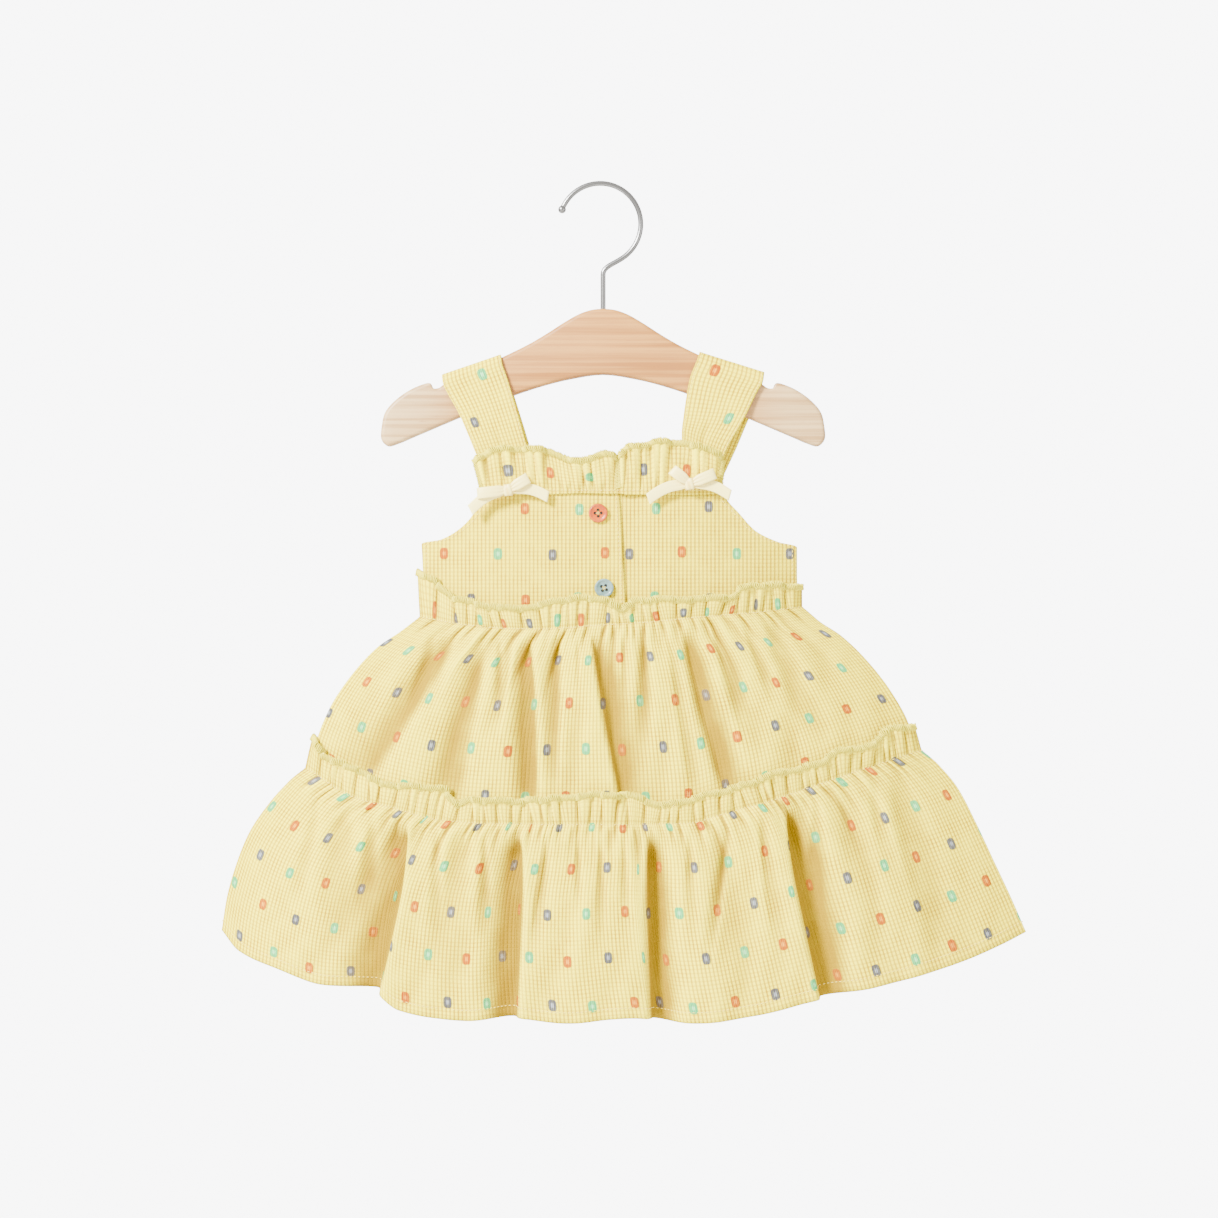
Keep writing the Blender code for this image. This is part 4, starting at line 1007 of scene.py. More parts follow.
def hanging_rows(end):
    """Places of the rows below the stitches, closest where the creases are finest."""
    rows = [np.linspace(0.006, 0.12, 13), np.linspace(0.135, 0.4, 16), np.linspace(0.42, end, 22)]
    return np.concatenate(rows)[:, None]


def sheet_columns(tier, in_pleat):
    even = np.linspace(0.0, 1.0, tier.waves * in_pleat + 1)[None, :]
    pulled = np.interp(even * tier.waves, np.arange(tier.waves + 1), pleat_places(tier))
    return mix(even, pulled, 0.4)


def puffed_gathers(crest, across, downs):
    """The cloth swells out between the stitched valleys, just below them."""
    place = np.exp(-((downs - 0.03) / 0.045) ** 2)
    return PUFF * (crest - 0.5) * place * ease(0.0, 0.03, across) * ease(1.0, 0.97, across)


def hollows(tier, in_pleat, across, ups, downs, frill_lift, sink, lift, puff):
    """How deep in a fold each point of a tier lies, from -1 on a ridge to 1. It sets the painted
    highlight and painted shade of the cloth.
    """
    phase = pleat_phase(tier, across)
    valley = (1 - pleats(phase)) ** 1.5
    reach = 0.035 + 0.03 * np.sin(2.7 * np.round(phase))
    frill = 1.5 * relief(frill_lift, in_pleat + 1, 1.7) * ease(0.0, 0.3, ups) * ease(1.3, 0.7, ups)
    frill = frill + 0.9 * valley * (1 - 0.5 * ups)
    depth = np.clip(sink / tier.deepest, 0, 1)
    small = relief(lift + 0.8 * puff, in_pleat + 1, 0.9)
    wide = relief(lift - sink, 3 * in_pleat + 1, 5.0)
    hang = 0.9 * depth ** 1.1 + 0.9 * small * (1 - 0.5 * depth) + 0.75 * wide
    hang = hang + 1.1 * valley * np.exp(-(downs / reach) ** 2)
    return np.clip(np.concatenate([frill, hang]), -1.0, 1.0)


def tier_sheet(name, tier, below, to_down, in_pleat, fullness, tuft):
    across = sheet_columns(tier, in_pleat)
    ups = np.array(HEADER_UPS)[:, None]
    downs = hanging_rows(tier.end)
    frill, frill_lift = header(tier, below, to_down, ups, across)
    hang, sink, lift = skirt(tier, across, downs)
    puff = puffed_gathers(pleats(pleat_phase(tier, across)), across, downs)
    hang[..., 1] += tier.towards * puff
    start = np.clip(1 - downs / PULL, 0.0, 1.0)[..., None] ** 1.7
    hang = hang + (frill[-1:] - hang[:1]) * start
    points = np.concatenate([frill, hang])
    hollow = hollows(tier, in_pleat, across, ups, downs, frill_lift, sink, lift, puff)
    run = lengths_along(points[-4:]).mean(axis=0)
    width = fullness * run[-1]
    steps = np.linalg.norm(np.diff(points, axis=0), axis=2).mean(axis=1)
    v = -np.concatenate([[0.0], np.cumsum(steps)])
    flat = grid(run[-1] / 2 - run[None, :], v[:, None])
    piece = sheet_mesh(name, points, flat, hollow, tier.towards, cloth, tuft=tuft, crowd=CROWD)
    print(name, "share of the flat area", round(piece_area(points) / (width * -v[-1] * MM * MM), 3))
    declare(piece, name)
    return points


# %% [markdown]
# The upper tier hangs from the bodice and the lower one from the upper tier, front and back. Each
# header asks the layer below it for a surface, so the layers are made from the top down.

# %% Hang the tiers
UPPER_FULLNESS = 1.2
LOWER_FULLNESS = 1.25


def bodice_place(towards):
    def place(across, z):
        x = mix(through(BODICE_LEVELS, z, 1), through(BODICE_LEVELS, z, 2), across)
        return grid(x, towards * bodice_depth(x, z), z)
    return place


def upper_to_down(across, z):
    top = through(WAIST_GATHER, across)
    return (z - top) / (through(LOWER_GATHER, across) - top)


def tier_place(tier):
    def place(across, down):
        return skirt(tier, across, down)[0]
    return place


def same_height(across, z):
    return z


tier_points = {}
for side, towards, upper_folds, lower_folds, in_pleat in (
        ("front", -1, UPPER_FRONT_FOLDS, LOWER_FRONT_FOLDS, 12),
        ("back", 1, UPPER_BACK_FOLDS, LOWER_BACK_FOLDS, 9)):
    upper = Tier(WAIST_GATHER, WAIST_HEADER, LOWER_GATHER, UPPER_GIRTH, upper_folds, swing=0.75, waves=32,
                 towards=towards, seed=7, end=1.03, deepest=6.5, reach=0.85)
    lower = Tier(LOWER_GATHER, LOWER_HEADER, HEM, LOWER_GIRTH, lower_folds, swing=0.0, waves=56,
                 towards=towards, seed=11, end=1.0, deepest=11.0, reach=0.45)
    tier_points["upper_" + side] = tier_sheet(
        "upper_tier_" + side, upper, bodice_place(towards), same_height, in_pleat + 4, UPPER_FULLNESS,
        Tuft(-47.6, -321.0, 0, towards))
    tier_points["lower_" + side] = tier_sheet(
        "lower_tier_" + side, lower, tier_place(upper), upper_to_down, in_pleat, LOWER_FULLNESS,
        Tuft(-19.4, -460.0, 0, towards))

# %% [markdown]
# Thread holds it all. Every stitch is the same small shape again and again along a path, which is
# what Geometry Nodes are for: one tree resamples the path to an even spacing, sets a copy on each
# point, turns it to the path and to the cloth, and makes real mesh of the copies. Sizes are named
# inputs, so one tree serves every seam.

# %% Repeat along a path
class Repeat(Nodes):
    """A Geometry Nodes tree that sets one small shape along a path, square to it and to the cloth."""

    def __init__(self, name, sizes):
        tree = bpy.data.node_groups.new(name, "GeometryNodeTree")
        tree.interface.new_socket("Geometry", in_out="INPUT", socket_type="NodeSocketGeometry")
        for size in sizes:
            tree.interface.new_socket(size, in_out="INPUT", socket_type="NodeSocketFloat")
        tree.interface.new_socket("Material", in_out="INPUT", socket_type="NodeSocketMaterial")
        tree.interface.new_socket("Geometry", in_out="OUTPUT", socket_type="NodeSocketGeometry")
        super().__init__(tree)
        given = tree.nodes.new("NodeGroupInput")
        self.given = {socket.name: Signal(self, socket) for socket in given.outputs if socket.name}

    def along(self, shape):
        path = self.add("GeometryNodeMeshToCurve", {}, {"Mesh": self.given["Geometry"]})
        dots = self.add("GeometryNodeResampleCurve", {"mode": "LENGTH"},
                        {"Curve": path, "Length": self.given["Spacing"]})
        tangent = self.add("GeometryNodeInputTangent")
        out = self.add("GeometryNodeInputNamedAttribute", {"data_type": "FLOAT_VECTOR"}, {"Name": "out"})
        turn = self.add("FunctionNodeAlignRotationToVector", {"axis": "Z"}, {"Vector": tangent})
        turn = self.add("FunctionNodeAlignRotationToVector", {"axis": "X", "pivot_axis": "Z"},
                        {"Rotation": turn, "Vector": out})
        size = self.add("FunctionNodeRandomValue", {"data_type": "FLOAT_VECTOR"},
                        {"Min": (0.88, 0.85, 0.88), "Max": (1.1, 1.15, 1.1), "Seed": 4})
        copies = self.add("GeometryNodeInstanceOnPoints", {},
                          {"Points": dots, "Instance": shape, "Rotation": turn, "Scale": size})
        solid = self.add("GeometryNodeRealizeInstances", {}, {"Geometry": copies})
        smooth = self.add("GeometryNodeSetShadeSmooth", {}, {"Geometry": solid})
        done = self.add("GeometryNodeSetMaterial", {},
                        {"Geometry": smooth, "Material": self.given["Material"]})
        result = self.tree.nodes.new("NodeGroupOutput")
        self.tree.links.new(done.socket, result.inputs[0])


# %% [markdown]
# The seams are plain running stitches in pale thread, each a stretched grain. The free edges are
# overlocked: a lemon thread wraps round the cut edge in close loops that lean along it. A loop is
# an oval circle with a thin strand for its profile, with few sides, because there are thousands.

# %% Running stitch and overlock
SEAM_STITCH = {"Spacing": 2.9, "Length": 2.1, "Thread": 0.28}
OVERLOCK = {"Spacing": 1.0, "Height": 4.4, "Thickness": 2.7, "Thread": 0.62}
LOOP_LEAN = radians(22)

stitches = Repeat("running stitch", ["Spacing", "Length", "Thread"])
grain = stitches.add("GeometryNodeMeshIcoSphere", {}, {"Radius": 1.0, "Subdivisions": 1})
half_length = stitches.given["Length"] * 0.5
stretch = stitches.add("ShaderNodeCombineXYZ", {},
                       {0: stitches.given["Thread"], 1: stitches.given["Thread"], 2: half_length})
stitches.along(stitches.add("GeometryNodeTransform", {}, {"Geometry": grain, "Scale": stretch}))

overlock = Repeat("overlock", ["Spacing", "Height", "Thickness", "Thread"])
loop = overlock.add("GeometryNodeCurvePrimitiveCircle", {}, {"Resolution": 8, "Radius": 1.0})
oval = overlock.add("ShaderNodeCombineXYZ", {},
                    {0: overlock.given["Thickness"] * 0.5, 1: overlock.given["Height"] * 0.5, 2: 1.0})
loop = overlock.add("GeometryNodeTransform", {},
                    {"Geometry": loop, "Scale": oval, "Rotation": (LOOP_LEAN, 0, 0)})
strand = overlock.add("GeometryNodeCurvePrimitiveCircle", {},
                      {"Resolution": 3, "Radius": overlock.given["Thread"]})
overlock.along(overlock.add("GeometryNodeCurveToMesh", {}, {"Curve": loop, "Profile Curve": strand}))


# %% [markdown]
# Thread is spun cotton: rough, with a soft sheen. Bright lemon turns pale when a view transform
# rolls off strong light, so the lemon thread has no sheen and a faint glow of its own colour, which
# keeps it yellower. It is a compromise for the picture and not a property of real thread.

# %% Thread finishes
def thread_finish(name, colour, sheen=0.3, glow=0.0):
    finish = Finish(name, Base_Color=colour, Roughness=0.6, Sheen_Weight=sheen, Sheen_Roughness=0.4,
                    Emission_Color=colour, Emission_Strength=glow)
    return finish.material


lemon_thread = thread_finish("lemon overlock thread", paint(216, 202, 0), 0.0, 0.12)
pale_thread = thread_finish("pale seam thread", paint(238, 212, 80))
# Near black thread paints the shade down in the buttons' holes; the real thread there is the same pale
# thread.
hole_shade_thread = thread_finish("thread in a dark hole", paint(16, 11, 8), 0.0)


# %% [markdown]
# A trim is one repeat run along one or more chains of points. Each point carries the direction out
# of the cloth as an attribute, so the tree can turn every copy to face it. The result is made plain
# mesh at once, because the export drops modifiers that make instances.

# %% Trims
EDGE_INSET = 0.7
STITCH_STAND = 0.55


def trim(name, repeat, chains, sizes, material):
    """Runs a repeat along chains of (points, outward directions)."""
    name = name.replace("_", "-")
    count = 0
    places = []
    outs = []
    edges = []
    for points, directions in chains:
        places.extend((points * MM).tolist())
        outs.extend(directions.tolist())
        edges.extend((count + k, count + k + 1) for k in range(len(points) - 1))
        count += len(points)
    mesh = bpy.data.meshes.new(name)
    mesh.from_pydata(places, edges, [])
    mesh.attributes.new("out", "FLOAT_VECTOR", "POINT").data.foreach_set("vector", np.ravel(outs))
    piece = bpy.data.objects.new(name, mesh)
    bpy.context.collection.objects.link(piece)
    modifier = piece.modifiers.new("repeat", "NODES")
    modifier.node_group = repeat.tree
    inputs = [item for item in repeat.tree.interface.items_tree if item.in_out == "INPUT"]
    sockets = {item.name: item.identifier for item in inputs}
    for size, value in sizes.items():
        modifier[sockets[size]] = value * MM
    modifier[sockets["Material"]] = material
    shown = piece.evaluated_get(bpy.context.evaluated_depsgraph_get())
    piece.data = bpy.data.meshes.new_from_object(shown)
    piece.modifiers.remove(modifier)
    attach(piece, BODY)
    print(name, len(piece.data.polygons), "faces")
    return piece


def edge_chain(points, out, inside):
    """A chain a little inside an edge row, on the way to the next row."""
    step = inside - points
    step /= np.linalg.norm(step, axis=1, keepdims=True)
    return points + step * EDGE_INSET, out


def on_top(points, out, stand=STITCH_STAND):
    return points + out * stand, out


# %% [markdown]
# The tiers are overlocked along the top of their headers and stitched down at the gathers. The
# lower tier also has the stitches of its hem. The ruffle's halves are overlocked along the top and
# down both ends.

# %% Sew the tiers and the ruffle
HEM_ROW = -3
RUFFLE_FREE_ROWS = 29
RUFFLE_STITCH_ROW = 30

for side, towards in (("front", -1), ("back", 1)):
    for tier, rows in (("upper_", [GATHER_ROW]), ("lower_", [GATHER_ROW, HEM_ROW])):
        points = tier_points[tier + side]
        out = outward(points, towards)
        trim(tier + "tier_" + side + "_overlock", overlock, [edge_chain(points[0], out[0], points[1])],
             OVERLOCK, lemon_thread)
        trim(tier + "tier_" + side + "_seams", stitches, [on_top(points[row], out[row]) for row in rows],
             SEAM_STITCH, pale_thread)

for half in RUFFLES:
    points = ruffle_points[half.name]
    out = outward(points, -1)
    edges = [edge_chain(points[0], out[0], points[1])]
    for column, beside in ((0, 1), (-1, -2)):
        free = slice(0, RUFFLE_FREE_ROWS)
        edges.append(edge_chain(points[free, column], out[free, column], points[free, beside]))
    trim(half.name + "_overlock", overlock, edges, OVERLOCK, lemon_thread)
    foot = on_top(points[RUFFLE_STITCH_ROW], out[RUFFLE_STITCH_ROW])
    trim(half.name + "_seams", stitches, [foot], SEAM_STITCH, pale_thread)

# %% [markdown]
# The edges of the bodice panels are turned in and stitched down a few millimetres from the fold.
# The straps have a line of stitches along each edge. On a real machine the foot keeps that
# distance, and here a column of points is found that lies so far inside the edge, row by row.

# %% Sew the bodice and the straps
ARMHOLE_INSET = 3.5
LAP_INSET = 2.0
STRAP_STAND = 0.95


def inner_column(points, edge, inset):
    """The line on a panel at a distance inside one of its side edges."""
    order = points if edge == 0 else points[:, ::-1]
    run = lengths_along(order)
    line = np.empty((len(points), 3))
    for row in range(len(points)):
        for axis in range(3):
            line[row, axis] = np.interp(inset, run[row], order[row, :, axis])
    return line


def panel_seams(name, points, towards, edges):
    out = outward(points, towards)
    chains = [on_top(inner_column(points, edge, inset), out[:, edge]) for edge, inset in edges]
    trim(name + "_seams", stitches, chains, SEAM_STITCH, pale_thread)


panel_seams("bodice_front_lap", lap_points, -1, [(0, ARMHOLE_INSET), (-1, LAP_INSET)])
panel_seams("bodice_front_under", under_points, -1, [(-1, ARMHOLE_INSET)])
panel_seams("bodice_back", back_points, 1, [(0, ARMHOLE_INSET), (-1, ARMHOLE_INSET)])
for name, points, out in (("strap_left", left_strap, left_strap_out),
                          ("strap_right", right_strap, right_strap_out)):
    chains = [on_top(points[4:-4, column], out[4:-4, column], STRAP_STAND) for column in (1, -2)]
    trim(name + "_seams", stitches, chains, SEAM_STITCH, pale_thread)

# %% [markdown]
# The buttons are turned: a dished face inside a raised rim, then four holes. A squashed cylinder
# would lack the rim, so a profile is spun round an axis, and the holes are drilled by a Boolean,
# which keeps them open. The buttons are sewn on with pale thread that crosses between the holes.
# Down in the holes the same thread is coloured near black: a painted shade, which makes the holes read dark.

# %% Buttons
Button = namedtuple("Button", "name x z turn colour rim_colour")
BUTTONS = [
    Button("button_coral", -1.3, -221.7, radians(2), paint(160, 62, 4), paint(184, 84, 10)),
    Button("button_blue", 2.7, -272.0, radians(57), paint(80, 108, 104), paint(112, 136, 130)),
]
BUTTON_PROFILE = [
    (0.0, 1.5), (3.9, 1.55), (4.5, 1.7), (4.9, 2.05), (5.3, 2.2), (5.8, 2.18), (6.2, 1.98),
    (6.4, 1.6), (6.38, 1.0), (6.1, 0.4), (5.5, 0.05), (0.0, 0.0),
]
BUTTON_HOLE = 1.05
BUTTON_HOLE_SPREAD = 2.0
BUTTON_FACE = 1.5
THREAD_OVER = {"Spacing": 0.3, "Length": 0.8, "Thread": 0.11}
THREAD_INSIDE = {"Spacing": 0.4, "Length": 0.7, "Thread": 0.36}
BUTTON_SIDES = 48
BUTTON_LIFT = 0.45
DRILL_LENGTH = 9.0


def lathe(name, profile, centre, sides, material):
    """A turned piece whose axis points to the front. The profile runs from the face to the back,
    and a radius of 0 is a single point in the middle."""
    shape = bmesh.new()
    rings = []
    for radius, height in profile:
        angles = [2 * pi * k / sides for k in range(sides if radius else 1)]
        rings.append([shape.verts.new(Vector((centre[0] + radius * cos(a), centre[1] - height,
                                              centre[2] + radius * sin(a))) * MM) for a in angles])
    for first, second in zip(rings, rings[1:]):
        for k in range(sides):
            n = k + 1
            corners = [first[k % len(first)], second[k % len(second)],
                       second[n % len(second)], first[n % len(first)]]
            shape.faces.new(list(dict.fromkeys(corners)))
    bmesh.ops.recalc_face_normals(shape, faces=shape.faces)
    name = name.replace("_", "-")
    mesh = bpy.data.meshes.new(name)
    shape.to_mesh(mesh)
    shape.free()
    mesh.materials.append(material)
    piece = bpy.data.objects.new(name, mesh)
    bpy.context.collection.objects.link(piece)
    return piece


def bake(piece):
    """Replaces the mesh by what its modifiers make of it."""
    shown = piece.evaluated_get(bpy.context.evaluated_depsgraph_get())
    piece.data = bpy.data.meshes.new_from_object(shown)
    piece.modifiers.clear()


def drill(piece, centre, radius, depth, turn):
    bpy.ops.mesh.primitive_cylinder_add(vertices=20, radius=radius * MM, depth=depth * MM,
                                        location=Vector(centre) * MM, rotation=turn)
    bit = bpy.context.object
    cut = piece.modifiers.new("hole", "BOOLEAN")
    cut.operation = "DIFFERENCE"
    cut.solver = "EXACT"
    cut.object = bit
    bake(piece)
    bpy.data.objects.remove(bit)


def button_finish(button):
    finish = Finish(button.name, Roughness=0.4, Specular_IOR_Level=0.3, Coat_Weight=0.12, Coat_Roughness=0.12)
    place = finish.add("ShaderNodeTexCoord", {}, {}, out=3)
    cloud = finish.noise(place, 260.0, 3.0)
    finish.set("Base Color", finish.blend(cloud.rise(0.35, 0.7), button.colour, button.rim_colour))
    return finish.material


for button in BUTTONS:
    seat = -float(bodice_depth(np.array(button.x), np.array(button.z))) - CLOTH / 2 - BUTTON_LIFT
    disc = lathe(button.name, BUTTON_PROFILE, (button.x, seat, button.z), BUTTON_SIDES, button_finish(button))
    holes = []
    for k in range(4):
        angle = button.turn + k * pi / 2
        spot = (button.x + BUTTON_HOLE_SPREAD * cos(angle), seat, button.z + BUTTON_HOLE_SPREAD * sin(angle))
        holes.append(np.array(spot))
        drill(disc, spot, BUTTON_HOLE, DRILL_LENGTH, (radians(90), 0, 0))
    disc.data.shade_smooth()
    disc.data.set_sharp_from_angle(angle=radians(38))
    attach(disc, BODY)
    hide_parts(button.name)
    over = []
    inside = []
    for first, second in ((0, 2), (1, 3)):
        middle = (holes[first] + holes[second]) / 2
        reach = holes[first] - middle
        aside = np.array([-reach[2], 0, reach[0]]) / BUTTON_HOLE_SPREAD
        for shift in (-0.18, 0.18):
            t = np.linspace(-0.66, 0.66, 13)[:, None]
            line = middle + reach * t + aside * shift
            line[:, 1] -= BUTTON_FACE + (0.4 if first else 0.15) - 0.5 * ease(0.45, 0.66, np.abs(t[:, 0]))
            over.append((line, np.tile([0.0, -1.0, 0.0], (13, 1))))
        for end in (-1, 1):
            for shift in (-0.5, 0.0, 0.5):
                line = middle + reach * end * np.linspace(0.62, 1.38, 5)[:, None] + aside * shift
                line[:, 1] -= 0.6 * BUTTON_FACE
                inside.append((line, np.tile([0.0, -1.0, 0.0], (5, 1))))
    trim(button.name + "_thread", stitches, over, THREAD_OVER, pale_thread)
    # The thread inside the holes carries the painted shade of the holes.
    trim(button.name + "_thread_inside", stitches, inside, THREAD_INSIDE, hole_shade_thread)
    print(disc.name, len(disc.data.polygons), "faces")

# %% [markdown]
# The ribbon is narrow cream satin with fine cords along it. It is smoother than the cotton, so it
# has a thin coat and a little sheen. It has a painted shade: a darker colour in the pleats where the knot
# pinches it and on the knot.

# %% Ribbon finish
RIBBON_CORD = 0.0004
RIBBON_CORD_RISE = 0.00002


def ribbon_finish():
    finish = Finish("satin ribbon", Sheen_Weight=0.2, Coat_Weight=0.15, Coat_Roughness=0.4)
    flat = finish.add("ShaderNodeUVMap", {"uv_map": "flat"})
    hollow = finish.add("ShaderNodeAttribute", {"attribute_name": "hollow"}, out=2)
    u, _, _ = finish.split(flat)
    cord = (u * (2 * pi / RIBBON_CORD)).sine()
    # Painted shade: the darker colour follows the hollow of the pleats near the knot.
    finish.set("Base Color", finish.blend(hollow, paint(255, 240, 140), paint(222, 180, 62)))
    finish.set("Roughness", 0.42 + 0.05 * cord)
    finish.raise_by(cord * RIBBON_CORD_RISE, 0.5)
    return finish.material


satin = ribbon_finish()

# %% [markdown]
# Two loops and two tails come out of a small knot, and pleats run out from the knot where the
# ribbon is pinched. A curve with a flat profile would do for the tails, but not for the pleats, so
# each limb is a sheet: a route, a width that grows away from the knot, and folds across it. Both
# bows are tied by hand, so no two loops have the same length or direction.

# %% Bows
RIBBON_WIDTH = 7.4
RIBBON = 0.35
RIBBON_HALF_FLAT = 3.1
KNOT_HALF = (3.4, 2.2, 3.9)
Bow = namedtuple("Bow", "name x z loops tails")
Limb = namedtuple("Limb", "angle length droop")
BOWS = [
    Bow("bow_left", -61.3, -206.3, [Limb(radians(184), 21.0, 2.0), Limb(radians(28), 15.5, 2.0)],
        [Limb(radians(208), 29.0, -3.0), Limb(radians(-10), 27.0, 3.0)]),
    Bow("bow_right", 60.3, -202.3, [Limb(radians(138), 15.5, 2.0), Limb(radians(20), 18.0, 2.0)],
        [Limb(radians(200), 30.0, -3.0), Limb(radians(-16), 28.0, 3.0)]),
]


def ribbon(route, across, widths, shift, both_ends):
    """A ribbon along a route, its width along a direction. Its pleats fade away from the knot, where
    one end of it lies, or both ends of a loop."""
    t = np.linspace(-1.0, 1.0, 13)[None, :]
    steps = np.linalg.norm(np.diff(route, axis=0), axis=1)
    run = np.concatenate([[0.0], np.cumsum(steps)])[:, None]
    from_knot = np.minimum(run, run[-1] - run if both_ends else run)
    fold = np.cos(3 * pi * t + shift) * np.exp(-from_knot / 6.0)
    bow_of_width = 0.35 * (1 - t ** 2)
    points = route[:, None, :] + across * (t * widths[:, None] / 2)[..., None]
    points[..., 1] -= 0.55 * fold + bow_of_width
    # hollow is the painted shade in the pleats, strongest at the knot.
    hollow = np.clip(0.5 - 0.6 * fold, 0, 1) * np.exp(-from_knot / 9.0)
    return points, grid(t * RIBBON_HALF_FLAT, run), hollow


def directions(angle):
    """Along a limb and across it, both in the plane of the bow."""
    return np.array([cos(angle), 0, sin(angle)]), np.array([-sin(angle), 0, cos(angle)])


def bow_loop(centre, limb):
    along, across = directions(limb.angle)
    turn = np.linspace(0.0, 2 * pi, 41)
    out = limb.length * (1 - np.cos(turn)) / 2
    lift = np.where(turn < pi, 2.8, 0.5) * np.sin(turn) * np.sin(turn / 2)
    route = centre + along * out[:, None]
    route[:, 1] -= 1.2 + lift
    route += across * (0.9 * np.sin(turn / 2) ** 2 * limb.droop / 2)[:, None]
    widths = RIBBON_WIDTH * mix(0.55, 1.0, ease(0.0, 7.0, out))
    return ribbon(route, across, widths, 0.4, True)


def bow_tail(centre, limb):
    along, across = directions(limb.angle)
    t = np.linspace(0.0, 1.0, 21)
    route = centre + along * (limb.length * t)[:, None] + across * (limb.droop * np.sin(pi * t))[:, None]
    route[:, 1] += 0.5 * np.sin(pi * t) - 0.8
    widths = RIBBON_WIDTH * mix(0.55, 1.0, ease(0.0, 8.0, limb.length * t))
    return ribbon(route, across, widths, 1.3, False)


def bow_knot(centre):
    turn = np.linspace(0.0, 2 * pi, 25)[None, :]
    rise = np.linspace(-1.0, 1.0, 9)[:, None]
    fat = 1 + 0.12 * np.cos(5 * turn + 2 * rise)
    waist = np.sqrt(np.clip(1.12 - rise ** 2 * 0.62, 0, 1)) * fat
    points = grid(centre[0] + KNOT_HALF[0] * waist * np.cos(turn),
                  centre[1] - 1.0 + KNOT_HALF[1] * waist * np.sin(turn),
                  centre[2] + KNOT_HALF[2] * rise + 0.3 * np.cos(turn))
    # The knot gets painted shade in the grooves between its bulges.
    return points, grid(turn * 2, 3 * rise), np.clip(0.4 - 3 * (fat - 1), 0, 1)


def bow(shape):
    crest = LAYER + CLOTH / 2 + 2 * GATHER_SWELL
    depth = float(bodice_depth(np.array(shape.x), np.array(shape.z)))
    centre = np.array([shape.x, -(depth + crest + KNOT_HALF[1] + 1.5), shape.z])
    limbs = [bow_loop(centre, limb) for limb in shape.loops]
    limbs += [bow_tail(centre, limb) for limb in shape.tails]
    parts = []
    for points, flat, hollow in limbs + [bow_knot(centre)]:
        parts.append(sheet_mesh(shape.name + "-limb", points, flat, hollow, -1, satin, RIBBON))
    for part in parts:
        bake(part)
    target = parts[0]
    with bpy.context.temp_override(active_object=target, selected_editable_objects=parts):
        bpy.ops.object.join()
    target.name = shape.name.replace("_", "-")
    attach(target, BODY)
    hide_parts(shape.name)
    print(target.name, len(target.data.polygons), "faces")


for shape in BOWS:
    bow(shape)

# %% [markdown]
# The wood is pale and close-grained. Long streaks come from a noise that is stretched along the
# board, and short dark pores from a finer one. The noise reads Object coordinates, so the grain
# goes through the board as in real wood and doesn't wrap round its edges. The ends are greyer and
# paler than the middle.

# %% Wood finish
STEM_X = 2.0
WOOD_ENDS = (70.0, 130.0)
PORE_RISE = 0.00008
STREAK_RISE = 0.0001


def wood_finish():
    finish = Finish("pale wood", Coat_Weight=0.08, Coat_Roughness=0.3)
    place = finish.add("ShaderNodeTexCoord", {}, {}, out=3)
    wander = finish.noise(place, 1.0, 2.0, stretch=(9.0, 9.0, 26.0))
    streaks = finish.noise(place, 1.0, 4.0, stretch=(6.0, 90.0, 380.0))
    pores = finish.noise(place, 1.0, 2.0, stretch=(70.0, 900.0, 1500.0))
    x, _, _ = finish.split(place)
    ends = abs(x * 1000 - STEM_X).rise(*WOOD_ENDS)
    dark = finish.blend(ends, paint(146, 92, 30), paint(160, 124, 74))
    light = finish.blend(ends, paint(178, 124, 52), paint(194, 162, 110))
    grain = (streaks * 0.85 + wander * 0.35).rise(0.42, 0.76)
    colour = finish.blend(grain, dark, light)
    finish.set("Base Color", finish.blend(pores.rise(0.62, 0.75) * 0.5, colour, paint(140, 84, 40)))
    finish.set("Roughness", 0.42 + 0.15 * grain)
    finish.raise_by(pores * PORE_RISE + streaks * STREAK_RISE, 0.5)
    return finish.material

# %% [markdown]
# The hanger is sawn from a flat board, with its edges rounded over and a notch near each end that
# keeps a strap from sliding off. An extruded curve with a bevel would swell at the tight turns of
# the notches. Here rings of points step inwards round each edge instead, and the rounding shrinks
# where the outline turns sharply.

# %% Hanger
HANGER_CROWN = -83.3
HANGER_THICKNESS = 11.0
HANGER_ROUNDING = 2.8
ROUNDING_STEPS = 5
CURVE_STEPS = 4
BORE_RADIUS = 2.05
BORE_DEPTH = 25.0
Outline = namedtuple("Outline", "out drop")
HANGER_TOP = [
    Outline(0.0, 0.0), Outline(7.4, 0.6), Outline(15.9, 3.4), Outline(26.6, 9.4), Outline(37.3, 16.3),
    Outline(48.0, 22.7), Outline(58.6, 28.2), Outline(83.8, 39.9), Outline(107.9, 51.3),
    Outline(110.6, 53.3), Outline(114.6, 53.7), Outline(116.6, 50.3), Outline(124.6, 52.0),
    Outline(134.7, 57.4), Outline(142.7, 64.1), Outline(147.4, 70.4), Outline(149.4, 78.8),
    Outline(149.7, 88.2), Outline(145.4, 92.7),
]
HANGER_BOTTOM = [
    Outline(138.0, 90.9), Outline(129.3, 87.2), Outline(98.5, 74.1), Outline(77.1, 65.1),
    Outline(59.0, 58.0), Outline(38.9, 51.5), Outline(22.0, 47.4), Outline(0.0, 44.4),
]


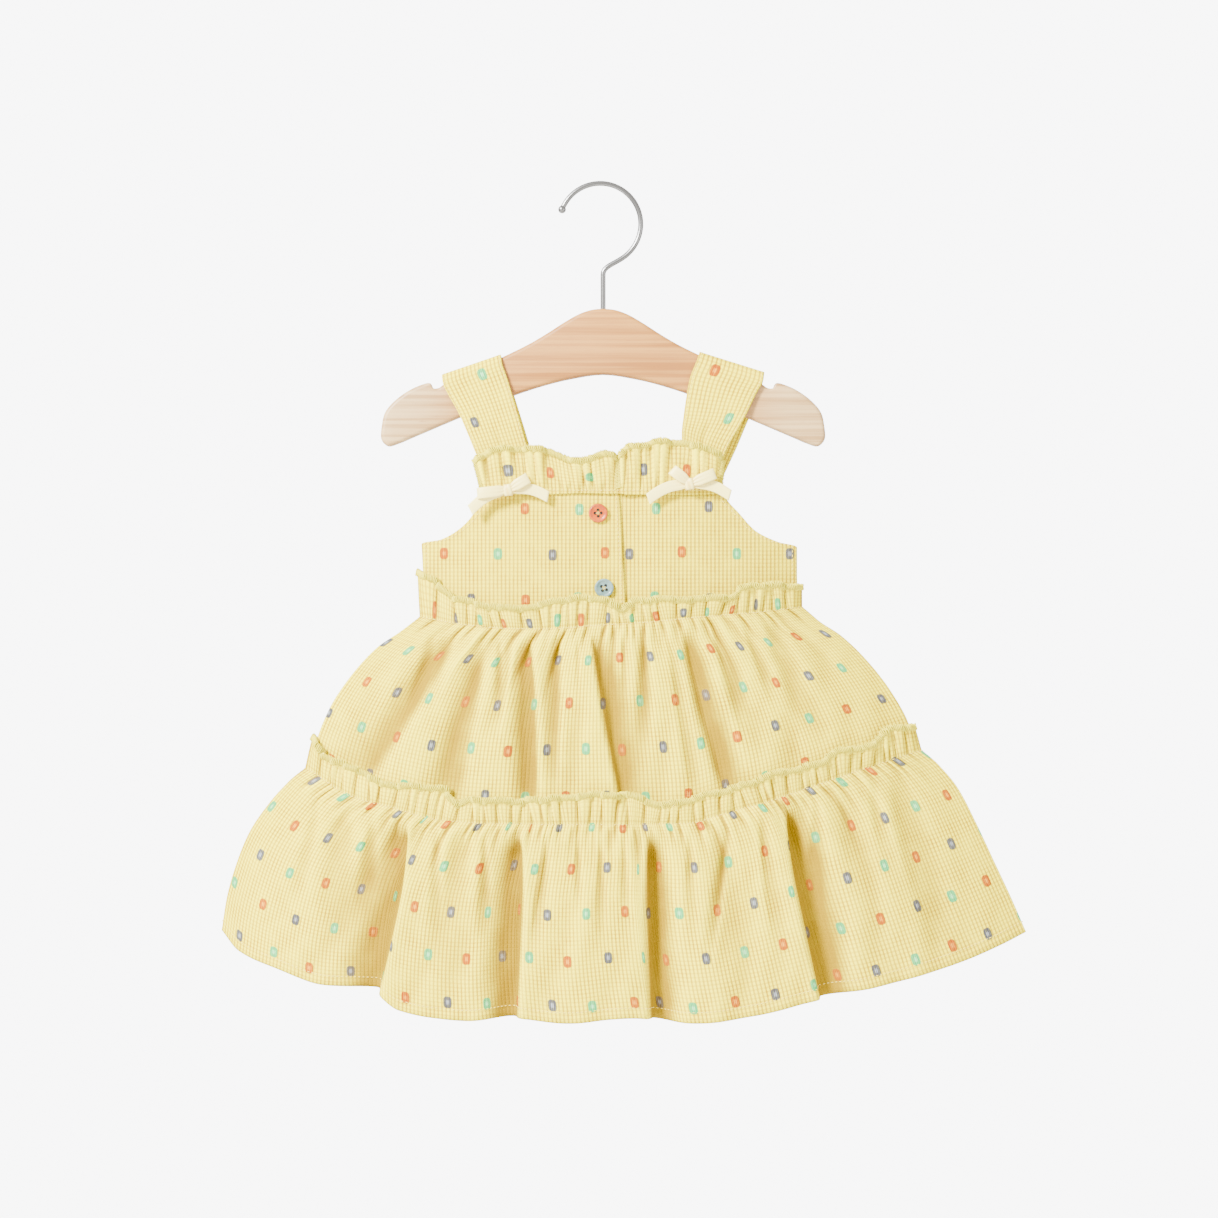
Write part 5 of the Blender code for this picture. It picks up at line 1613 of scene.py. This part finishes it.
def closed_curve(points, steps):
    """A smooth closed curve through points, rounder where they lie far apart."""
    points = np.array(points, float)
    count = len(points)
    curve = []
    for k in range(count):
        p0, p1, p2, p3 = (points[(k + j - 1) % count] for j in range(4))
        d1, d2, d3 = (max(np.linalg.norm(b - a), 1e-6) ** 0.5 for a, b in ((p0, p1), (p1, p2), (p2, p3)))
        m1 = ((p1 - p0) / d1 - (p2 - p0) / (d1 + d2) + (p2 - p1) / d2) * d2
        m2 = ((p2 - p1) / d2 - (p3 - p1) / (d2 + d3) + (p3 - p2) / d3) * d2
        for step in range(steps):
            t = step / steps
            bend = t * t * (3 - 2 * t)
            curve.append(mix(p1, p2, bend) + m1 * t * (1 - t) ** 2 + m2 * t * t * (t - 1))
    return np.array(curve)


def rounding_radius(outline):
    """The edge rounding at each point of the outline, smaller where the outline itself turns sharply."""
    before = outline - np.roll(outline, 1, axis=0)
    after = np.roll(outline, -1, axis=0) - outline
    cross = before[:, 0] * after[:, 1] - before[:, 1] * after[:, 0]
    turn = np.abs(np.arctan2(cross, (before * after).sum(axis=1)))
    bend = (np.linalg.norm(before, axis=1) + np.linalg.norm(after, axis=1)) / 2 / np.maximum(turn, 1e-3)
    radius = np.minimum(0.55 * bend, HANGER_ROUNDING)
    for _ in range(6):
        radius = np.minimum(radius, (np.roll(radius, 1) + radius + np.roll(radius, -1)) / 3 + 0.05)
    return np.maximum(radius, 0.5)[:, None]


def hanger():
    right = HANGER_TOP + HANGER_BOTTOM
    left = [Outline(-p.out, p.drop) for p in reversed(right) if p.out > 0]
    corners = [(STEM_X + p.out, HANGER_CROWN - p.drop) for p in right + left]
    outline = closed_curve(corners, CURVE_STEPS)
    along = np.roll(outline, -1, axis=0) - np.roll(outline, 1, axis=0)
    along /= np.linalg.norm(along, axis=1, keepdims=True)
    inward = np.stack([along[:, 1], -along[:, 0]], axis=1)
    radius = rounding_radius(outline)
    half = HANGER_THICKNESS / 2
    shape = bmesh.new()
    rings = []
    for side in (-1, 1):
        steps = range(ROUNDING_STEPS + 1)
        for step in steps if side > 0 else reversed(steps):
            angle = radians(90 / ROUNDING_STEPS * step)
            place = outline + inward * radius * (1 - cos(angle))
            y = side * (half - radius[:, 0] * (1 - sin(angle)))
            rings.append([shape.verts.new(Vector((x, d, z)) * MM) for (x, z), d in zip(place, y)])
    for first, second in zip(rings, rings[1:]):
        for k in range(len(first)):
            n = (k + 1) % len(first)
            shape.faces.new((first[k], second[k], second[n], first[n]))
    caps = [shape.faces.new(rings[0]), shape.faces.new(rings[-1])]
    bmesh.ops.recalc_face_normals(shape, faces=shape.faces)
    bmesh.ops.triangulate(shape, faces=caps, ngon_method="EAR_CLIP")
    mesh = bpy.data.meshes.new("hanger-wood")
    shape.to_mesh(mesh)
    shape.free()
    mesh.materials.append(wood_finish())
    piece = bpy.data.objects.new("hanger-wood", mesh)
    bpy.context.collection.objects.link(piece)
    drill(piece, (STEM_X, 0, HANGER_CROWN), BORE_RADIUS, 2 * BORE_DEPTH, (0, 0, 0))
    piece.data.shade_smooth()
    piece.data.set_sharp_from_angle(angle=radians(40))
    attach(piece, BODY)
    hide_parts("hanger_wood")
    print(piece.name, len(piece.data.polygons), "faces")


hanger()

# %% [markdown]
# The hook is one steel wire, bent round a mandrel, with a ball pressed on its end. Its stem goes
# down into the bore of the hanger and turns there. Wire and ball are one skin: a list of places
# along the wire, each with its own radius, which swells and closes at the ball.

# %% Hook
WIRE_RADIUS = 1.75
HOOK_RADIUS = 27.5
HOOK_START = radians(159)
HOOK_END = radians(-57)
HOOK_BALL = 2.65
STEM_TOP_Z = -60.0
WIRE_SIDES = 20
BALL_RINGS = 12
CROWN_RINGS = 64
BEND_RINGS = 16


def hook():
    centre_z = WIRE_RADIUS - HOOK_RADIUS
    route = []

    def round_the_crown(angle, radius):
        route.append((HOOK_RADIUS * cos(angle), centre_z + HOOK_RADIUS * sin(angle), radius))

    for k in range(BALL_RINGS):
        turn = pi * (1 - (k + 0.15) / (BALL_RINGS + 2.5))
        round_the_crown(HOOK_START - HOOK_BALL * cos(turn) / HOOK_RADIUS, HOOK_BALL * sin(turn))
    neck = HOOK_START - HOOK_BALL / HOOK_RADIUS
    for k in range(CROWN_RINGS + 1):
        round_the_crown(mix(neck, HOOK_END, k / CROWN_RINGS), WIRE_RADIUS)
    bend = np.array(route[-1][:2])
    run = np.array([-sin(HOOK_END), cos(HOOK_END)]) * -24.0
    stem = np.array([STEM_X, STEM_TOP_Z])
    drop = np.array([0.0, -16.0])
    for k in range(1, BEND_RINGS + 1):
        t = k / BEND_RINGS
        place = mix(bend, stem, t * t * (3 - 2 * t)) + run * t * (1 - t) ** 2 + drop * t * t * (t - 1)
        route.append((place[0], place[1], WIRE_RADIUS))
    for z in (-68.0, -76.0, -84.0, HANGER_CROWN - BORE_DEPTH + 0.4):
        route.append((STEM_X, z, WIRE_RADIUS))
    route = np.array(route)
    lines = np.gradient(route[:, :2], axis=0)
    lines /= np.linalg.norm(lines, axis=1, keepdims=True)
    angle = np.linspace(0.0, 2 * pi, WIRE_SIDES, endpoint=False)[None, :]
    out = route[:, 2:] * np.cos(angle)
    points = grid(route[:, :1] + lines[:, 1:] * out, route[:, 2:] * np.sin(angle),
                  route[:, 1:2] - lines[:, :1] * out)
    count = len(route)
    faces = []
    for k in range(count - 1):
        for side in range(WIRE_SIDES):
            a = k * WIRE_SIDES + side
            b = k * WIRE_SIDES + (side + 1) % WIRE_SIDES
            faces.append((a, b, b + WIRE_SIDES, a + WIRE_SIDES))
    faces.append(tuple(range(WIRE_SIDES)))
    faces.append(tuple(reversed(range((count - 1) * WIRE_SIDES, count * WIRE_SIDES))))
    mesh = bpy.data.meshes.new("hanger-hook")
    mesh.from_pydata((points.reshape(-1, 3) * MM).tolist(), [], faces)
    shape = bmesh.new()
    shape.from_mesh(mesh)
    bmesh.ops.recalc_face_normals(shape, faces=shape.faces)
    shape.to_mesh(mesh)
    shape.free()
    mesh.shade_smooth()
    steel = Finish("bright steel", Base_Color=paint(118, 118, 117), Metallic=1.0, Roughness=0.3)
    mesh.materials.append(steel.material)
    piece = bpy.data.objects.new("hanger-hook", mesh)
    bpy.context.collection.objects.link(piece)
    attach(piece, BODY)
    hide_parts("hanger_hook")
    print(piece.name, len(piece.data.polygons), "faces")


hook()

# %% [markdown]
# A pale floor far below the hem and soft studio light: a lamp in front on the upper left, which
# draws the folds, a weaker one on the right, and a bright even surround. The camera sees a brighter
# surround than the dress does, so the background is nearly white and the cloth isn't bleached.

# %% Studio
FLOOR_Z = -1.05
FLOOR_RADIUS = 1.6
DRESS_MIDDLE = (0, 0, -0.3)

bpy.ops.mesh.primitive_circle_add(vertices=96, radius=FLOOR_RADIUS, fill_type="NGON",
                                  location=(0, 0, FLOOR_Z))
floor = bpy.context.object
floor.name = "floor"
floor.data.materials.append(Finish("pale floor", Base_Color=paint(240, 240, 238), Roughness=0.9).material)


def lamp(name, place, aim, size, power):
    data = bpy.data.lights.new(name, "AREA")
    data.shape = "DISK"
    data.size = size
    data.energy = power
    light = bpy.data.objects.new(name, data)
    light.location = place
    light.rotation_euler = (Vector(aim) - Vector(place)).to_track_quat("-Z", "Y").to_euler()
    bpy.context.collection.objects.link(light)


lamp("key", (-1.5, -1.6, 1.0), DRESS_MIDDLE, 0.7, 350.0)
lamp("fill", (1.7, -1.5, -0.2), DRESS_MIDDLE, 1.4, 26.0)

world = bpy.data.worlds.new("studio")
bpy.context.scene.world = world
world.use_nodes = True
sky = Nodes(world.node_tree)
seen = sky.add("ShaderNodeLightPath", {}, {}, out=0)
backdrop = sky.add("ShaderNodeBackground", {}, {"Color": paint(254, 254, 255), "Strength": 8.4})
light = sky.add("ShaderNodeBackground", {}, {"Color": paint(255, 250, 244), "Strength": 1.9})
view = sky.add("ShaderNodeMixShader", {}, {0: seen, 1: light, 2: backdrop})
sky.tree.links.new(view.socket, world.node_tree.nodes["World Output"].inputs["Surface"])
